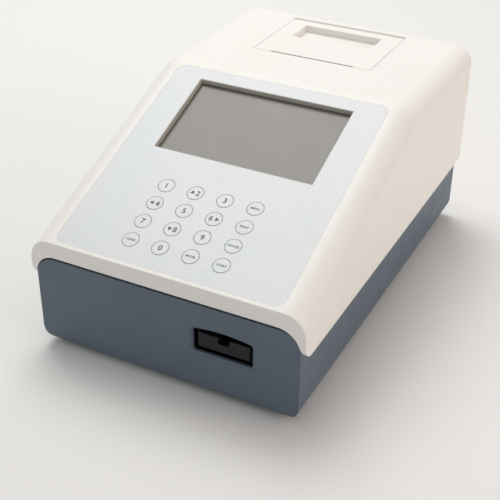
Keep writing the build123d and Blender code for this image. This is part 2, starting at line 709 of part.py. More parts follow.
# Base tub: rounded U section with an upright front wall that fills the cover's mouth.
BOARD_CENTRE = (sum(MAIN_BOARD_X) / 2, sum(MAIN_BOARD_Y) / 2)
BOARD_SIZE = (MAIN_BOARD_X[1] - MAIN_BOARD_X[0], MAIN_BOARD_Y[1] - MAIN_BOARD_Y[0])
BOARD_SCREWS = grid(
    BOARD_CENTRE, BOARD_SIZE[0] - 2 * STANDOFF_INSET, BOARD_SIZE[1] - 2 * STANDOFF_INSET, 2, 3
)
REAR_WALL_INSIDE = TUB_REAR - TUB_WALL
with BuildPart() as base_tub:
    with BuildSketch(across(TUB_REAR)):
        with BuildLine():
            FilletPolyline(
                (-TUB_HALF, TUB_BOTTOM),
                (TUB_HALF, TUB_BOTTOM),
                (TUB_HALF, TUB_TOP),
                (-TUB_HALF, TUB_TOP),
                radius=[TUB_BOTTOM_RADIUS, TUB_BOTTOM_RADIUS, 0, 0],
                close=True,
            )
        make_face()
    extrude(amount=TUB_REAR - TUB_FRONT_INSIDE)
    with BuildSketch(across(REAR_WALL_INSIDE)):
        with BuildLine():
            FilletPolyline(
                (-TUB_HALF + TUB_WALL, TUB_FLOOR),
                (TUB_HALF - TUB_WALL, TUB_FLOOR),
                (TUB_HALF - TUB_WALL, 2 * TUB_TOP),
                (-TUB_HALF + TUB_WALL, 2 * TUB_TOP),
                radius=[TUB_BOTTOM_RADIUS - TUB_WALL, TUB_BOTTOM_RADIUS - TUB_WALL, 0, 0],
                close=True,
            )
        make_face()
    extrude(amount=REAR_WALL_INSIDE - TUB_FRONT_INSIDE, mode=Mode.SUBTRACT)
    # The front wall, and the tongue that closes the gap behind the brow.
    wall_top = BROW_UNDERSIDE - BROW_GAP
    for back, rise, thickness in (
        (TUB_FRONT_INSIDE, 0, TUB_FRONT_INSIDE - TUB_FRONT),
        (TUB_FRONT_INSIDE + BROW_TONGUE_THICKNESS, BROW_TONGUE_RISE, BROW_TONGUE_THICKNESS),
    ):
        corner = BROW_RADIUS - BROW_GAP + rise
        with BuildSketch(across(back)):
            with BuildLine():
                FilletPolyline(
                    (-TUB_HALF, TUB_BOTTOM),
                    (-TUB_HALF, wall_top + rise),
                    (TUB_HALF, wall_top + rise),
                    (TUB_HALF, TUB_BOTTOM),
                    radius=[TUB_BOTTOM_RADIUS, corner, corner, TUB_BOTTOM_RADIUS],
                    close=True,
                )
            make_face()
        extrude(amount=thickness)
    with BuildSketch(Plane.YZ):
        with BuildLine():
            FilletPolyline(
                (TUB_FRONT, TUB_BOTTOM),
                (TUB_FRONT, DECK_HEIGHT),
                (TUB_REAR, DECK_HEIGHT),
                (TUB_REAR, TUB_BOTTOM),
                radius=[TUB_FRONT_RADIUS, 0, 0, TUB_FRONT_RADIUS],
                close=True,
            )
        make_face()
    extrude(amount=HALF, both=True, mode=Mode.INTERSECT)
    # Below the brow the tongue only stands clear of the tray's guide and the floor.
    with BuildSketch(across(TUB_FRONT_INSIDE + BROW_TONGUE_THICKNESS)):
        with Locations((0, SEAM_HEIGHT - TUB_HALF)):
            Rectangle(2 * (TUB_HALF - TUB_WALL), 2 * TUB_HALF)
        with Locations((0, TUB_FLOOR - TUB_HALF)):
            Rectangle(2 * TUB_HALF, 2 * TUB_HALF, mode=Mode.SUBTRACT)
    extrude(amount=BROW_TONGUE_THICKNESS, mode=Mode.SUBTRACT)
    # The tray slot, arched along its top, with a chamfered rim.
    slot_left = SLOT_CENTRE_X - SLOT_WIDTH / 2
    slot_right = SLOT_CENTRE_X + SLOT_WIDTH / 2
    slot_end = SLOT_BOTTOM + SLOT_END_HEIGHT
    with BuildSketch(across(TUB_FRONT_INSIDE + CUT)) as slot_face:
        with BuildLine():
            slot_sides = Polyline(
                (slot_left, slot_end),
                (slot_left, SLOT_BOTTOM),
                (slot_right, SLOT_BOTTOM),
                (slot_right, slot_end),
            )
            ThreePointArc(slot_sides @ 0, (SLOT_CENTRE_X, slot_end + SLOT_ARCH_RISE), slot_sides @ 1)
        make_face()
        fillet(slot_face.vertices(), SLOT_CORNER)
    extrude(amount=TUB_FRONT_INSIDE - TUB_FRONT + 2 * CUT, mode=Mode.SUBTRACT)
    slot_rim = base_tub.edges().filter_by(
        lambda e: abs(e.center().Y - TUB_FRONT) < 0.01
        and abs(e.center().X - SLOT_CENTRE_X) < SLOT_WIDTH / 2 + CUT
        and abs(e.center().Z - SLOT_BOTTOM - SLOT_END_HEIGHT / 2) < SLOT_END_HEIGHT
    )
    chamfer(slot_rim, SLOT_CHAMFER)
    # Screw bosses with deep counterbores from below, and board standoffs.
    for x, y in SCREW_PLACES:
        with BuildSketch(Plane.XY.offset(TUB_BOTTOM + TUB_WALL / 2)):
            with Locations((x, y)):
                Circle(CASE_BOSS_RADIUS)
        extrude(amount=CASE_BOSS_TOP - TUB_BOTTOM - TUB_WALL / 2)
        with BuildSketch(Plane.XY):
            with Locations((x, y)):
                Circle(CASE_BOSS_BORE)
        extrude(amount=CASE_BOSS_TOP - CASE_SCREW_GRIP, mode=Mode.SUBTRACT)
        with BuildSketch(Plane.XY):
            with Locations((x, y)):
                Circle(CASE_SCREW_RADIUS + SCREW_FIT)
        extrude(amount=CASE_BOSS_TOP + 1, mode=Mode.SUBTRACT)
    with BuildSketch(Plane.XY.offset(TUB_FLOOR)):
        with Locations(*BOARD_SCREWS):
            Circle(BOSS_RADIUS)
            Circle(SCREW_RADIUS + SCREW_FIT, mode=Mode.SUBTRACT)
    extrude(amount=STANDOFF_HEIGHT)
    # Rear cut-outs for the jack, the serial port and the switch.
    with BuildSketch(across(TUB_REAR + CUT)):
        with Locations((JACK_X, PORT_HEIGHT)):
            Circle(JACK_BORE + CUTOUT_GAP)
        with Locations((SERIAL_X, PORT_HEIGHT)):
            Rectangle(SERIAL_SHELL[0] + 2 * CUTOUT_GAP, SERIAL_SHELL[1] + 2 * CUTOUT_GAP)
        with Locations((SWITCH_X, PORT_HEIGHT)):
            Rectangle(SWITCH_WIDTH + 2 * CUTOUT_GAP, SWITCH_HEIGHT + 2 * CUTOUT_GAP)
    extrude(amount=TUB_WALL + 2 * CUT, mode=Mode.SUBTRACT)
finish(base_tub, "base_tub")

with BuildPart() as feet:
    with BuildSketch(Plane.XY):
        with Locations(*FOOT_PLACES):
            Circle(FOOT_RADIUS)
    extrude(amount=FOOT_HEIGHT)
    chamfer(feet.faces().group_by(Axis.Z)[0].edges(), FOOT_CHAMFER)
finish(feet, "feet")

with BuildPart() as case_screws:
    head_top = CASE_BOSS_TOP - CASE_SCREW_GRIP
    with BuildSketch(Plane.XY.offset(head_top)):
        with Locations(*SCREW_PLACES):
            Circle(CASE_SCREW_RADIUS)
    extrude(amount=2 * CASE_SCREW_GRIP)
    with BuildSketch(Plane.XY.offset(head_top)):
        with Locations(*SCREW_PLACES):
            Circle(CASE_SCREW_HEAD_RADIUS)
    extrude(amount=-CASE_SCREW_HEAD_HEIGHT)
    with BuildSketch(Plane.XY.offset(head_top - CASE_SCREW_HEAD_HEIGHT)):
        with Locations(*SCREW_PLACES):
            Rectangle(RECESS_SPAN, RECESS_WIDTH)
            Rectangle(RECESS_WIDTH, RECESS_SPAN)
    extrude(amount=RECESS_DEPTH, mode=Mode.SUBTRACT)
finish(case_screws, "case_screws")

# Main board with its parts.
BOARD_BOTTOM = TUB_FLOOR + STANDOFF_HEIGHT
BOARD_TOP = BOARD_BOTTOM + BOARD_THICKNESS
with BuildPart() as main_board:
    with BuildSketch(Plane.XY.offset(BOARD_BOTTOM)):
        with Locations(BOARD_CENTRE):
            Rectangle(*BOARD_SIZE)
        with Locations(*BOARD_SCREWS):
            Circle(SCREW_RADIUS + SCREW_FIT, mode=Mode.SUBTRACT)
    extrude(amount=BOARD_THICKNESS)
finish(main_board, "main_board")

with BuildPart() as board_chips:
    with BuildSketch(Plane.XY.offset(BOARD_TOP)):
        with Locations((BOARD_CENTRE[0], BOARD_CENTRE[1] + DRIVER_SPACING)):
            Rectangle(PROCESSOR_SIZE, PROCESSOR_SIZE)
    extrude(amount=PROCESSOR_HEIGHT)
    with BuildSketch(Plane.XY.offset(BOARD_TOP)):
        with Locations((MAIN_BOARD_X[1] - DRIVER_FROM_EDGE, BOARD_CENTRE[1])):
            with GridLocations(DRIVER_SPACING, DRIVER_SPACING, 1, 3):
                Rectangle(DRIVER_SIZE, DRIVER_SIZE)
    extrude(amount=DRIVER_HEIGHT)
finish(board_chips, "board_chips")

BUZZER_PLACE = (MAIN_BOARD_X[1] - BUZZER_FROM_EDGE, MAIN_BOARD_Y[0] + BUZZER_FROM_EDGE)
with BuildPart() as buzzer:
    with BuildSketch(Plane.XY.offset(BOARD_TOP)):
        with Locations(BUZZER_PLACE):
            Circle(BUZZER_RADIUS)
    extrude(amount=BUZZER_HEIGHT)
    with BuildSketch(Plane.XY.offset(BOARD_TOP + BUZZER_HEIGHT)):
        with Locations(BUZZER_PLACE):
            Circle(BUZZER_HOLE)
    extrude(amount=-BUZZER_HEIGHT / 2, mode=Mode.SUBTRACT)
finish(buzzer, "buzzer")

# Two flat cables drop from the slope to plugs on the main board.
TAIL_START = slope_point(TAIL_V, -OVERLAY_POCKET)
TAIL_END_Y = TAIL_START[0] + TAIL_DROP
RIBBON_START = slope_point(DISPLAY_V - BOARD_HALF_V + RIBBON_INSET, FRAME_BACK - BOARD_THICKNESS)
RIBBON_END_Y = RIBBON_START[0] + RIBBON_SET_BACK
CABLE_END_Z = BOARD_TOP + PLUG_HEIGHT

with BuildPart() as cable_plugs:
    with BuildSketch(Plane.XY.offset(BOARD_TOP)):
        with Locations((TAIL_X, TAIL_END_Y)):
            Rectangle(TAIL_WIDTH + 2 * PLUG_MARGIN, PLUG_LENGTH)
        with Locations((RIBBON_X, RIBBON_END_Y)):
            Rectangle(RIBBON_WIDTH + 2 * PLUG_MARGIN, PLUG_LENGTH)
    extrude(amount=PLUG_HEIGHT)
finish(cable_plugs, "cable_plugs")


def flat_cable(name, x, width, start, drop_v, end_y):
    """Ribbon from a start point under the slope, out along its normal, then down to a plug."""
    out = (start[0] + drop_v * sin(THETA), start[1] - drop_v * cos(THETA))
    with BuildPart() as cable:
        with BuildLine(Plane.YZ.offset(x)) as route:
            FilletPolyline(
                start,
                out,
                (end_y, (out[1] + CABLE_END_Z) / 2),
                (end_y, CABLE_END_Z),
                radius=[CABLE_BEND, CABLE_BEND],
            )
        with BuildSketch(Plane(origin=route.line @ 0, x_dir=(1, 0, 0), z_dir=route.line % 0)):
            Rectangle(width, CABLE_THICKNESS)
        sweep(path=route.line)
    finish(cable, name)


flat_cable("keypad_tail", TAIL_X, TAIL_WIDTH, TAIL_START, TAIL_DROP, TAIL_END_Y)
flat_cable("display_cable", RIBBON_X, RIBBON_WIDTH, RIBBON_START, RIBBON_DROP, RIBBON_END_Y)

# Strip tray and its rack, in a channel that stands on the tub floor.
TRAY_FRONT = TUB_FRONT + TRAY_SETBACK
TRAY_REAR = TRAY_FRONT + TRAY_LENGTH
TRAY_LEFT = SLOT_CENTRE_X - TRAY_WIDTH / 2
TRAY_TOP = TRAY_BOTTOM + TRAY_HEIGHT
PINION_R = PINION_TEETH * GEAR_MODULE / 2
PITCH = pi * GEAR_MODULE
RACK_PITCH_X = TRAY_LEFT + GEAR_MODULE
RACK_ROOT_X = RACK_PITCH_X + 1.25 * GEAR_MODULE
RACK_BACK_X = RACK_ROOT_X + RACK_BODY
PINION_X = RACK_PITCH_X - PINION_R - GEAR_DEPTH_GAP
PINION_Y = TRAY_FRONT + PINION_FROM_FRONT
PAD_Y = TRAY_FRONT + GROOVE_LENGTH + PAD_FROM_GROOVE + PAD_SIZE / 2
with BuildPart() as strip_tray:
    with BuildSketch(across(TRAY_REAR)):
        with Locations((SLOT_CENTRE_X, TRAY_BOTTOM + TRAY_HEIGHT / 2)):
            Rectangle(TRAY_WIDTH, TRAY_HEIGHT)
    extrude(amount=TRAY_LENGTH)
    chamfer(strip_tray.faces().sort_by(Axis.Y)[0].edges(), TRAY_EDGE)
    with BuildSketch(Plane.XY.offset(TRAY_TOP)):
        with Locations((SLOT_CENTRE_X, TRAY_FRONT + GROOVE_LENGTH / 2)):
            Rectangle(GROOVE_WIDTH, GROOVE_LENGTH)
    extrude(amount=-GROOVE_DEPTH, mode=Mode.SUBTRACT)
    with BuildSketch(Plane.XY.offset(TRAY_TOP)):
        with Locations((SLOT_CENTRE_X, PAD_Y)):
            Rectangle(PAD_SIZE + 2 * OVERLAY_FIT, PAD_SIZE + 2 * OVERLAY_FIT)
    extrude(amount=-PAD_THICKNESS, mode=Mode.SUBTRACT)
    with BuildSketch(Plane.XY.offset(TRAY_BOTTOM)):
        with Locations(((TRAY_LEFT + RACK_BACK_X) / 2, (TRAY_FRONT + RACK_START + TRAY_REAR) / 2)):
            Rectangle(RACK_BACK_X - TRAY_LEFT, TRAY_LENGTH - RACK_START)
    extrude(amount=PINION_THICKNESS + GUIDE_RUNNING_GAP, mode=Mode.SUBTRACT)
finish(strip_tray, "strip_tray")

with BuildPart() as reference_pad:
    with BuildSketch(Plane.XY.offset(TRAY_TOP - PAD_THICKNESS)):
        with Locations((SLOT_CENTRE_X, PAD_Y)):
            Rectangle(PAD_SIZE, PAD_SIZE)
    extrude(amount=PAD_THICKNESS)
finish(reference_pad, "reference_pad")

tooth_tip = PITCH / 4 - GEAR_BACKLASH / 2 - GEAR_MODULE * tan(radians(20))
tooth_root = PITCH / 4 - GEAR_BACKLASH / 2 + 1.25 * GEAR_MODULE * tan(radians(20))
rack_points = []
tooth_y = PINION_Y - PITCH / 2 - PITCH * int((PINION_Y - TRAY_FRONT - RACK_START - PITCH) / PITCH)
while tooth_y < TRAY_REAR - PITCH:
    rack_points += [
        (RACK_ROOT_X, tooth_y - tooth_root),
        (TRAY_LEFT, tooth_y - tooth_tip),
        (TRAY_LEFT, tooth_y + tooth_tip),
        (RACK_ROOT_X, tooth_y + tooth_root),
    ]
    tooth_y += PITCH
rack_points += [(RACK_ROOT_X, TRAY_REAR), (RACK_BACK_X, TRAY_REAR)]
rack_points += [(RACK_BACK_X, TRAY_FRONT + RACK_START), (RACK_ROOT_X, TRAY_FRONT + RACK_START)]
with BuildPart() as tray_rack:
    with BuildSketch(Plane.XY.offset(TRAY_BOTTOM)):
        with BuildLine():
            Polyline(*rack_points, close=True)
        make_face()
    extrude(amount=PINION_THICKNESS)
finish(tray_rack, "tray_rack")

GUIDE_FRONT = TUB_FRONT_INSIDE + GUIDE_SETBACK
GUIDE_REAR = GUIDE_FRONT + GUIDE_LENGTH
GUIDE_FLOOR = TRAY_BOTTOM - GUIDE_RUNNING_GAP
GUIDE_HALF = TRAY_WIDTH / 2 + GUIDE_RUNNING_GAP + GUIDE_WALL
GUIDE_TOP = TRAY_TOP + GUIDE_RUNNING_GAP + GUIDE_LIP_THICKNESS
MOTOR_TOP = GUIDE_FLOOR - GUIDE_WALL
with BuildPart() as tray_guide:
    with BuildSketch(across(GUIDE_REAR)):
        with Locations((SLOT_CENTRE_X, (GUIDE_FLOOR - GUIDE_WALL + GUIDE_TOP) / 2)):
            Rectangle(2 * GUIDE_HALF, GUIDE_TOP - GUIDE_FLOOR + GUIDE_WALL)
        with Locations((SLOT_CENTRE_X, (GUIDE_FLOOR + TRAY_TOP + GUIDE_RUNNING_GAP) / 2)):
            Rectangle(
                TRAY_WIDTH + 2 * GUIDE_RUNNING_GAP, TRAY_HEIGHT + 2 * GUIDE_RUNNING_GAP, mode=Mode.SUBTRACT
            )
        with Locations((SLOT_CENTRE_X, GUIDE_TOP)):
            Rectangle(TRAY_WIDTH - 2 * GUIDE_LIP, TRAY_HEIGHT, mode=Mode.SUBTRACT)
    extrude(amount=GUIDE_LENGTH)
    # The plate that carries the motor, and the window where the pinion reaches the rack.
    plate_right = SLOT_CENTRE_X - GUIDE_HALF + GUIDE_WALL
    plate_left = PINION_X - MOTOR_RADIUS - MOTOR_PLATE_MARGIN
    with BuildSketch(Plane.XY.offset(GUIDE_FLOOR - GUIDE_WALL)):
        with Locations(((plate_left + plate_right) / 2, PINION_Y)):
            Rectangle(plate_right - plate_left, 2 * (MOTOR_RADIUS + MOTOR_PLATE_MARGIN))
    extrude(amount=GUIDE_WALL)
    with BuildSketch(Plane.XY.offset(GUIDE_FLOOR)):
        with Locations((PINION_X, PINION_Y)):
            Circle(PINION_R + 2 * GEAR_MODULE)
    extrude(amount=PINION_THICKNESS + 3 * GUIDE_RUNNING_GAP, mode=Mode.SUBTRACT)
    with BuildSketch(Plane.XY.offset(GUIDE_FLOOR - 2 * GUIDE_WALL)):
        with Locations((PINION_X, PINION_Y)):
            Circle(2 * MOTOR_SHAFT_RADIUS)
    extrude(amount=3 * GUIDE_WALL, mode=Mode.SUBTRACT)
    # Legs down to the tub floor.
    with BuildSketch(Plane.XY.offset(TUB_FLOOR)):
        for station in GUIDE_LEG_STATIONS:
            for side in (-1, 1):
                with Locations((SLOT_CENTRE_X + side * (GUIDE_HALF - GUIDE_LEG / 2), GUIDE_FRONT + station)):
                    Rectangle(GUIDE_LEG, GUIDE_LEG)
    extrude(amount=GUIDE_FLOOR - GUIDE_WALL - TUB_FLOOR)
finish(tray_guide, "tray_guide")

with BuildPart() as tray_motor:
    with BuildSketch(Plane.XY.offset(MOTOR_TOP)):
        with Locations((PINION_X, PINION_Y)):
            Circle(MOTOR_RADIUS)
    extrude(amount=-MOTOR_HEIGHT)
    with BuildSketch(Plane.XY.offset(MOTOR_TOP)):
        with Locations((PINION_X, PINION_Y)):
            Circle(MOTOR_SHAFT_RADIUS + RUNNING_FIT)
    extrude(amount=-MOTOR_SHAFT_SEAT, mode=Mode.SUBTRACT)
finish(tray_motor, "tray_motor")

with BuildPart() as tray_pinion:
    with BuildSketch(Plane.XY.offset(TRAY_BOTTOM)):
        with BuildLine():
            Polyline(*placed(gear_outline(PINION_TEETH, GEAR_MODULE), (PINION_X, PINION_Y)), close=True)
        make_face()
    extrude(amount=PINION_THICKNESS)
    with BuildSketch(Plane.XY.offset(MOTOR_TOP - MOTOR_SHAFT_SEAT + RUNNING_FIT)):
        with Locations((PINION_X, PINION_Y)):
            Circle(MOTOR_SHAFT_RADIUS)
    extrude(amount=TRAY_BOTTOM - MOTOR_TOP + MOTOR_SHAFT_SEAT + PINION_THICKNESS)
finish(tray_pinion, "tray_pinion")

# Read head on the guide: housing, lens, lamps and board.
OPTICS_REAR = GUIDE_REAR - OPTICS_REAR_MARGIN
OPTICS_Y = OPTICS_REAR - OPTICS_LENGTH / 2
OPTICS_TOP = GUIDE_TOP + OPTICS_HEIGHT
OPTICS_SCREWS = grid(
    (SLOT_CENTRE_X, OPTICS_Y), 2 * (GUIDE_HALF - OPTICS_POST_INSET), OPTICS_LENGTH - 2 * OPTICS_POST_INSET
)
with BuildPart() as optics_housing:
    with BuildSketch(Plane.XY.offset(GUIDE_TOP)):
        with Locations((SLOT_CENTRE_X, OPTICS_Y)):
            Rectangle(2 * GUIDE_HALF, OPTICS_LENGTH)
    extrude(amount=OPTICS_HEIGHT)
    fillet(optics_housing.edges().filter_by(Axis.Z), OPTICS_WALL)
    with BuildSketch(Plane.XY.offset(OPTICS_TOP)):
        with Locations((SLOT_CENTRE_X, OPTICS_Y)):
            Rectangle(2 * (GUIDE_HALF - OPTICS_WALL), OPTICS_LENGTH - 2 * OPTICS_WALL)
    extrude(amount=OPTICS_FLOOR - OPTICS_HEIGHT, mode=Mode.SUBTRACT)
    with BuildSketch(Plane.XY.offset(GUIDE_TOP)):
        with Locations(*OPTICS_SCREWS):
            Circle(BOSS_RADIUS)
    extrude(amount=OPTICS_HEIGHT)
    with BuildSketch(Plane.XY.offset(OPTICS_TOP)):
        with Locations(*OPTICS_SCREWS):
            Circle(SCREW_RADIUS + SCREW_FIT)
    extrude(amount=-SCREW_LENGTH, mode=Mode.SUBTRACT)
    with BuildSketch(Plane.XY.offset(GUIDE_TOP)):
        with Locations((SLOT_CENTRE_X, OPTICS_Y)):
            Circle(LENS_RADIUS + RUNNING_FIT)
    extrude(amount=OPTICS_FLOOR, mode=Mode.SUBTRACT)
finish(optics_housing, "optics_housing")

with BuildPart() as optics_lens:
    with BuildSketch(Plane.XY.offset(GUIDE_TOP + OPTICS_FLOOR / 4)):
        with Locations((SLOT_CENTRE_X, OPTICS_Y)):
            Circle(LENS_RADIUS)
    extrude(amount=OPTICS_FLOOR / 2)
    fillet(optics_lens.edges(), OPTICS_FLOOR / 8)
finish(optics_lens, "optics_lens")

with BuildPart() as optics_board:
    with BuildSketch(Plane.XY.offset(OPTICS_TOP)):
        with Locations((SLOT_CENTRE_X, OPTICS_Y)):
            Rectangle(2 * GUIDE_HALF, OPTICS_LENGTH)
        with Locations(*OPTICS_SCREWS):
            Circle(SCREW_RADIUS + SCREW_FIT, mode=Mode.SUBTRACT)
    extrude(amount=BOARD_THICKNESS)
finish(optics_board, "optics_board")

with BuildPart() as optics_leds:
    with BuildSketch(Plane.XY.offset(OPTICS_TOP)):
        with Locations(*grid((SLOT_CENTRE_X, OPTICS_Y), LED_SPACING, LED_SPACING)):
            Circle(LED_RADIUS)
    extrude(amount=-LED_LENGTH)
    fillet(optics_leds.faces().group_by(Axis.Z)[0].edges(), LED_RADIUS / 2)
finish(optics_leds, "optics_leds")

# Printer well under the lid: a shallow tray with a deep round-bottomed pocket for the roll.
WELL_TOP = DECK_HEIGHT - COVER_WALL - WELL_TOP_GAP
WELL_TRAY_FLOOR = WELL_TOP - WELL_TRAY_DEPTH + WELL_WALL
WELL_FRONT = LID_FRONT - WELL_FRONT_MARGIN
WELL_REAR = LID_REAR + WELL_REAR_MARGIN
ROLL_Y = LID_FRONT + ROLL_FROM_SEAM
POCKET_HALF = PAPER_WIDTH / 2 + ROLL_SIDE_GAP
POCKET_RADIUS = ROLL_RADIUS + ROLL_POCKET_GAP
POCKET_Z = WELL_TOP - WELL_TOP_GAP - ROLL_RADIUS
ROLL_Z = POCKET_Z - ROLL_POCKET_GAP + ROLL_REST_GAP
with BuildPart() as printer_well:
    with BuildSketch(Plane.XY.offset(WELL_TOP)):
        with Locations((0, (WELL_FRONT + WELL_REAR) / 2)):
            Rectangle(2 * WELL_HALF, WELL_REAR - WELL_FRONT)
    extrude(amount=-WELL_TRAY_DEPTH)
    with BuildSketch(Plane.YZ):
        with Locations((ROLL_Y, POCKET_Z)):
            Circle(POCKET_RADIUS + WELL_WALL)
    extrude(amount=POCKET_HALF + WELL_WALL, both=True)
    with BuildSketch(Plane.YZ):
        with Locations((ROLL_Y, DECK_HEIGHT)):
            Rectangle(3 * POCKET_RADIUS, 2 * (DECK_HEIGHT - WELL_TOP))
    extrude(amount=WELL_HALF, both=True, mode=Mode.SUBTRACT)
    with BuildSketch(Plane.XY.offset(WELL_TOP)):
        with Locations((0, (WELL_FRONT + WELL_REAR) / 2)):
            Rectangle(2 * (WELL_HALF - WELL_WALL), WELL_REAR - WELL_FRONT - 2 * WELL_WALL)
    extrude(amount=WELL_TRAY_FLOOR - WELL_TOP, mode=Mode.SUBTRACT)
    with BuildSketch(Plane.YZ):
        with Locations((ROLL_Y, POCKET_Z)):
            Circle(POCKET_RADIUS)
    extrude(amount=POCKET_HALF, both=True, mode=Mode.SUBTRACT)
    with BuildSketch(Plane.XY.offset(WELL_EAR_TOP)):
        for x, y in WELL_EAR_PLACES:
            with Locations((x - (x / abs(x)) * WELL_WALL / 2, y)):
                Rectangle(WELL_EAR + WELL_WALL, 2 * BOSS_RADIUS)
        with Locations((0, (WELL_FRONT + WELL_REAR) / 2)):
            Rectangle(2 * (WELL_HALF - WELL_WALL), WELL_REAR - WELL_FRONT - 2 * WELL_WALL, mode=Mode.SUBTRACT)
    extrude(amount=-WELL_EAR_THICKNESS)
    with BuildSketch(Plane.XY.offset(WELL_EAR_TOP)):
        with Locations(*WELL_EAR_PLACES):
            Circle(SCREW_RADIUS + SCREW_FIT)
    extrude(amount=-WELL_EAR_THICKNESS, mode=Mode.SUBTRACT)
    # Notches that let the lid's hinge barrel and its ears through the side walls.
    with BuildSketch(Plane.YZ):
        with Locations((HINGE_Y, DECK_HEIGHT)):
            Rectangle(2 * (EAR_HALF_DEPTH + HINGE_NOTCH_GAP), 2 * (EAR_DROP + HINGE_NOTCH_GAP))
    extrude(amount=WELL_HALF, both=True, mode=Mode.SUBTRACT)
finish(printer_well, "printer_well")

with BuildPart() as paper_roll:
    with BuildSketch(Plane.YZ):
        with Locations((ROLL_Y, ROLL_Z)):
            Circle(ROLL_RADIUS)
            Circle(CORE_RADIUS, mode=Mode.SUBTRACT)
    extrude(amount=PAPER_WIDTH / 2, both=True)
finish(paper_roll, "paper_roll")

with BuildPart() as roll_core:
    with BuildSketch(Plane.YZ):
        with Locations((ROLL_Y, ROLL_Z)):
            Circle(CORE_RADIUS - RUNNING_FIT)
            Circle(CORE_BORE, mode=Mode.SUBTRACT)
    extrude(amount=PAPER_WIDTH / 2, both=True)
finish(roll_core, "roll_core")

# Print mechanism at the front of the well.
PLATEN_Y = LID_FRONT + PLATEN_FROM_SEAM
PLATEN_Z = DECK_HEIGHT - PLATEN_DROP
GEAR_SPACING = PRINTER_GEAR_MODULE * (PLATEN_GEAR_TEETH + FEED_GEAR_TEETH) / 2 + GEAR_DEPTH_GAP / 2
FEED_Y = PLATEN_Y + GEAR_SPACING
FRAME_Y0 = LID_FRONT - PRINTER_FRONT_MARGIN
CHEEK_OUT = CHEEK_X + CHEEK_THICKNESS
with BuildPart() as printer_frame:
    with BuildSketch(Plane.XY.offset(WELL_TRAY_FLOOR)):
        with Locations((0, FRAME_Y0 + PRINTER_LENGTH / 2)):
            Rectangle(2 * CHEEK_OUT, PRINTER_LENGTH)
    extrude(amount=PRINTER_BASE)
    with BuildSketch(Plane.YZ):
        with Locations((FRAME_Y0 + PRINTER_LENGTH / 2, WELL_TRAY_FLOOR + (PRINTER_BASE + CHEEK_HEIGHT) / 2)):
            Rectangle(PRINTER_LENGTH, PRINTER_BASE + CHEEK_HEIGHT)
    extrude(amount=CHEEK_OUT, both=True)
    with BuildSketch(Plane.YZ):
        with Locations((FRAME_Y0 + PRINTER_LENGTH / 2, WELL_TRAY_FLOOR + PRINTER_BASE + CHEEK_HEIGHT)):
            Rectangle(2 * PRINTER_LENGTH, 2 * CHEEK_HEIGHT)
    extrude(amount=CHEEK_X, both=True, mode=Mode.SUBTRACT)
    with BuildSketch(Plane.YZ):
        with Locations((PLATEN_Y, PLATEN_Z)):
            Circle(PLATEN_SHAFT_RADIUS + RUNNING_FIT)
        with Locations((FEED_Y, PLATEN_Z)):
            Circle(FEED_SHAFT_RADIUS + RUNNING_FIT)
    extrude(amount=CHEEK_OUT + CUT, both=True, mode=Mode.SUBTRACT)
finish(printer_frame, "printer_frame")

with BuildPart() as thermal_head:
    head_rear = PLATEN_Y - PLATEN_RADIUS - HEAD_GAP
    with BuildSketch(Plane.XY.offset(WELL_TRAY_FLOOR + PRINTER_BASE)):
        with Locations((0, head_rear - HEAD_THICKNESS / 2)):
            Rectangle(2 * (CHEEK_X - HEAD_GAP), HEAD_THICKNESS)
    extrude(amount=CHEEK_HEIGHT)
finish(thermal_head, "thermal_head")

with BuildPart() as platen_roller:
    with BuildSketch(Plane.YZ):
        with Locations((PLATEN_Y, PLATEN_Z)):
            Circle(PLATEN_RADIUS)
    extrude(amount=PAPER_WIDTH / 2, both=True)
    with BuildSketch(Plane.YZ):
        with Locations((PLATEN_Y, PLATEN_Z)):
            Circle(PLATEN_SHAFT_RADIUS)
    extrude(amount=PRINTER_GEAR_X + PRINTER_GEAR_WIDTH, both=True)
finish(platen_roller, "platen_roller")

with BuildPart() as platen_gear:
    with BuildSketch(Plane.YZ.offset(PRINTER_GEAR_X)):
        with BuildLine():
            outline = gear_outline(PLATEN_GEAR_TEETH, PRINTER_GEAR_MODULE)
            Polyline(*placed(outline, (PLATEN_Y, PLATEN_Z)), close=True)
        make_face()
        with Locations((PLATEN_Y, PLATEN_Z)):
            Circle(PLATEN_SHAFT_RADIUS + RUNNING_FIT, mode=Mode.SUBTRACT)
    extrude(amount=PRINTER_GEAR_WIDTH)
finish(platen_gear, "platen_gear")

with BuildPart() as feed_motor:
    with BuildSketch(Plane.YZ.offset(CHEEK_X)):
        with Locations((FEED_Y, PLATEN_Z)):
            Circle(FEED_MOTOR_RADIUS)
    extrude(amount=-FEED_MOTOR_LENGTH)
    with BuildSketch(Plane.YZ.offset(CHEEK_X)):
        with Locations((FEED_Y, PLATEN_Z)):
            Circle(FEED_SHAFT_RADIUS + RUNNING_FIT)
    extrude(amount=-MOTOR_SHAFT_SEAT, mode=Mode.SUBTRACT)
finish(feed_motor, "feed_motor")

with BuildPart() as feed_gear:
    with BuildSketch(Plane.YZ.offset(PRINTER_GEAR_X)):
        with BuildLine():
            outline = gear_outline(FEED_GEAR_TEETH, PRINTER_GEAR_MODULE)
            Polyline(*placed(outline, (FEED_Y, PLATEN_Z), 180 / FEED_GEAR_TEETH), close=True)
        make_face()
    extrude(amount=PRINTER_GEAR_WIDTH)
    with BuildSketch(Plane.YZ.offset(PRINTER_GEAR_X)):
        with Locations((FEED_Y, PLATEN_Z)):
            Circle(FEED_SHAFT_RADIUS)
    extrude(amount=CHEEK_X - MOTOR_SHAFT_SEAT + RUNNING_FIT - PRINTER_GEAR_X)
finish(feed_gear, "feed_gear")

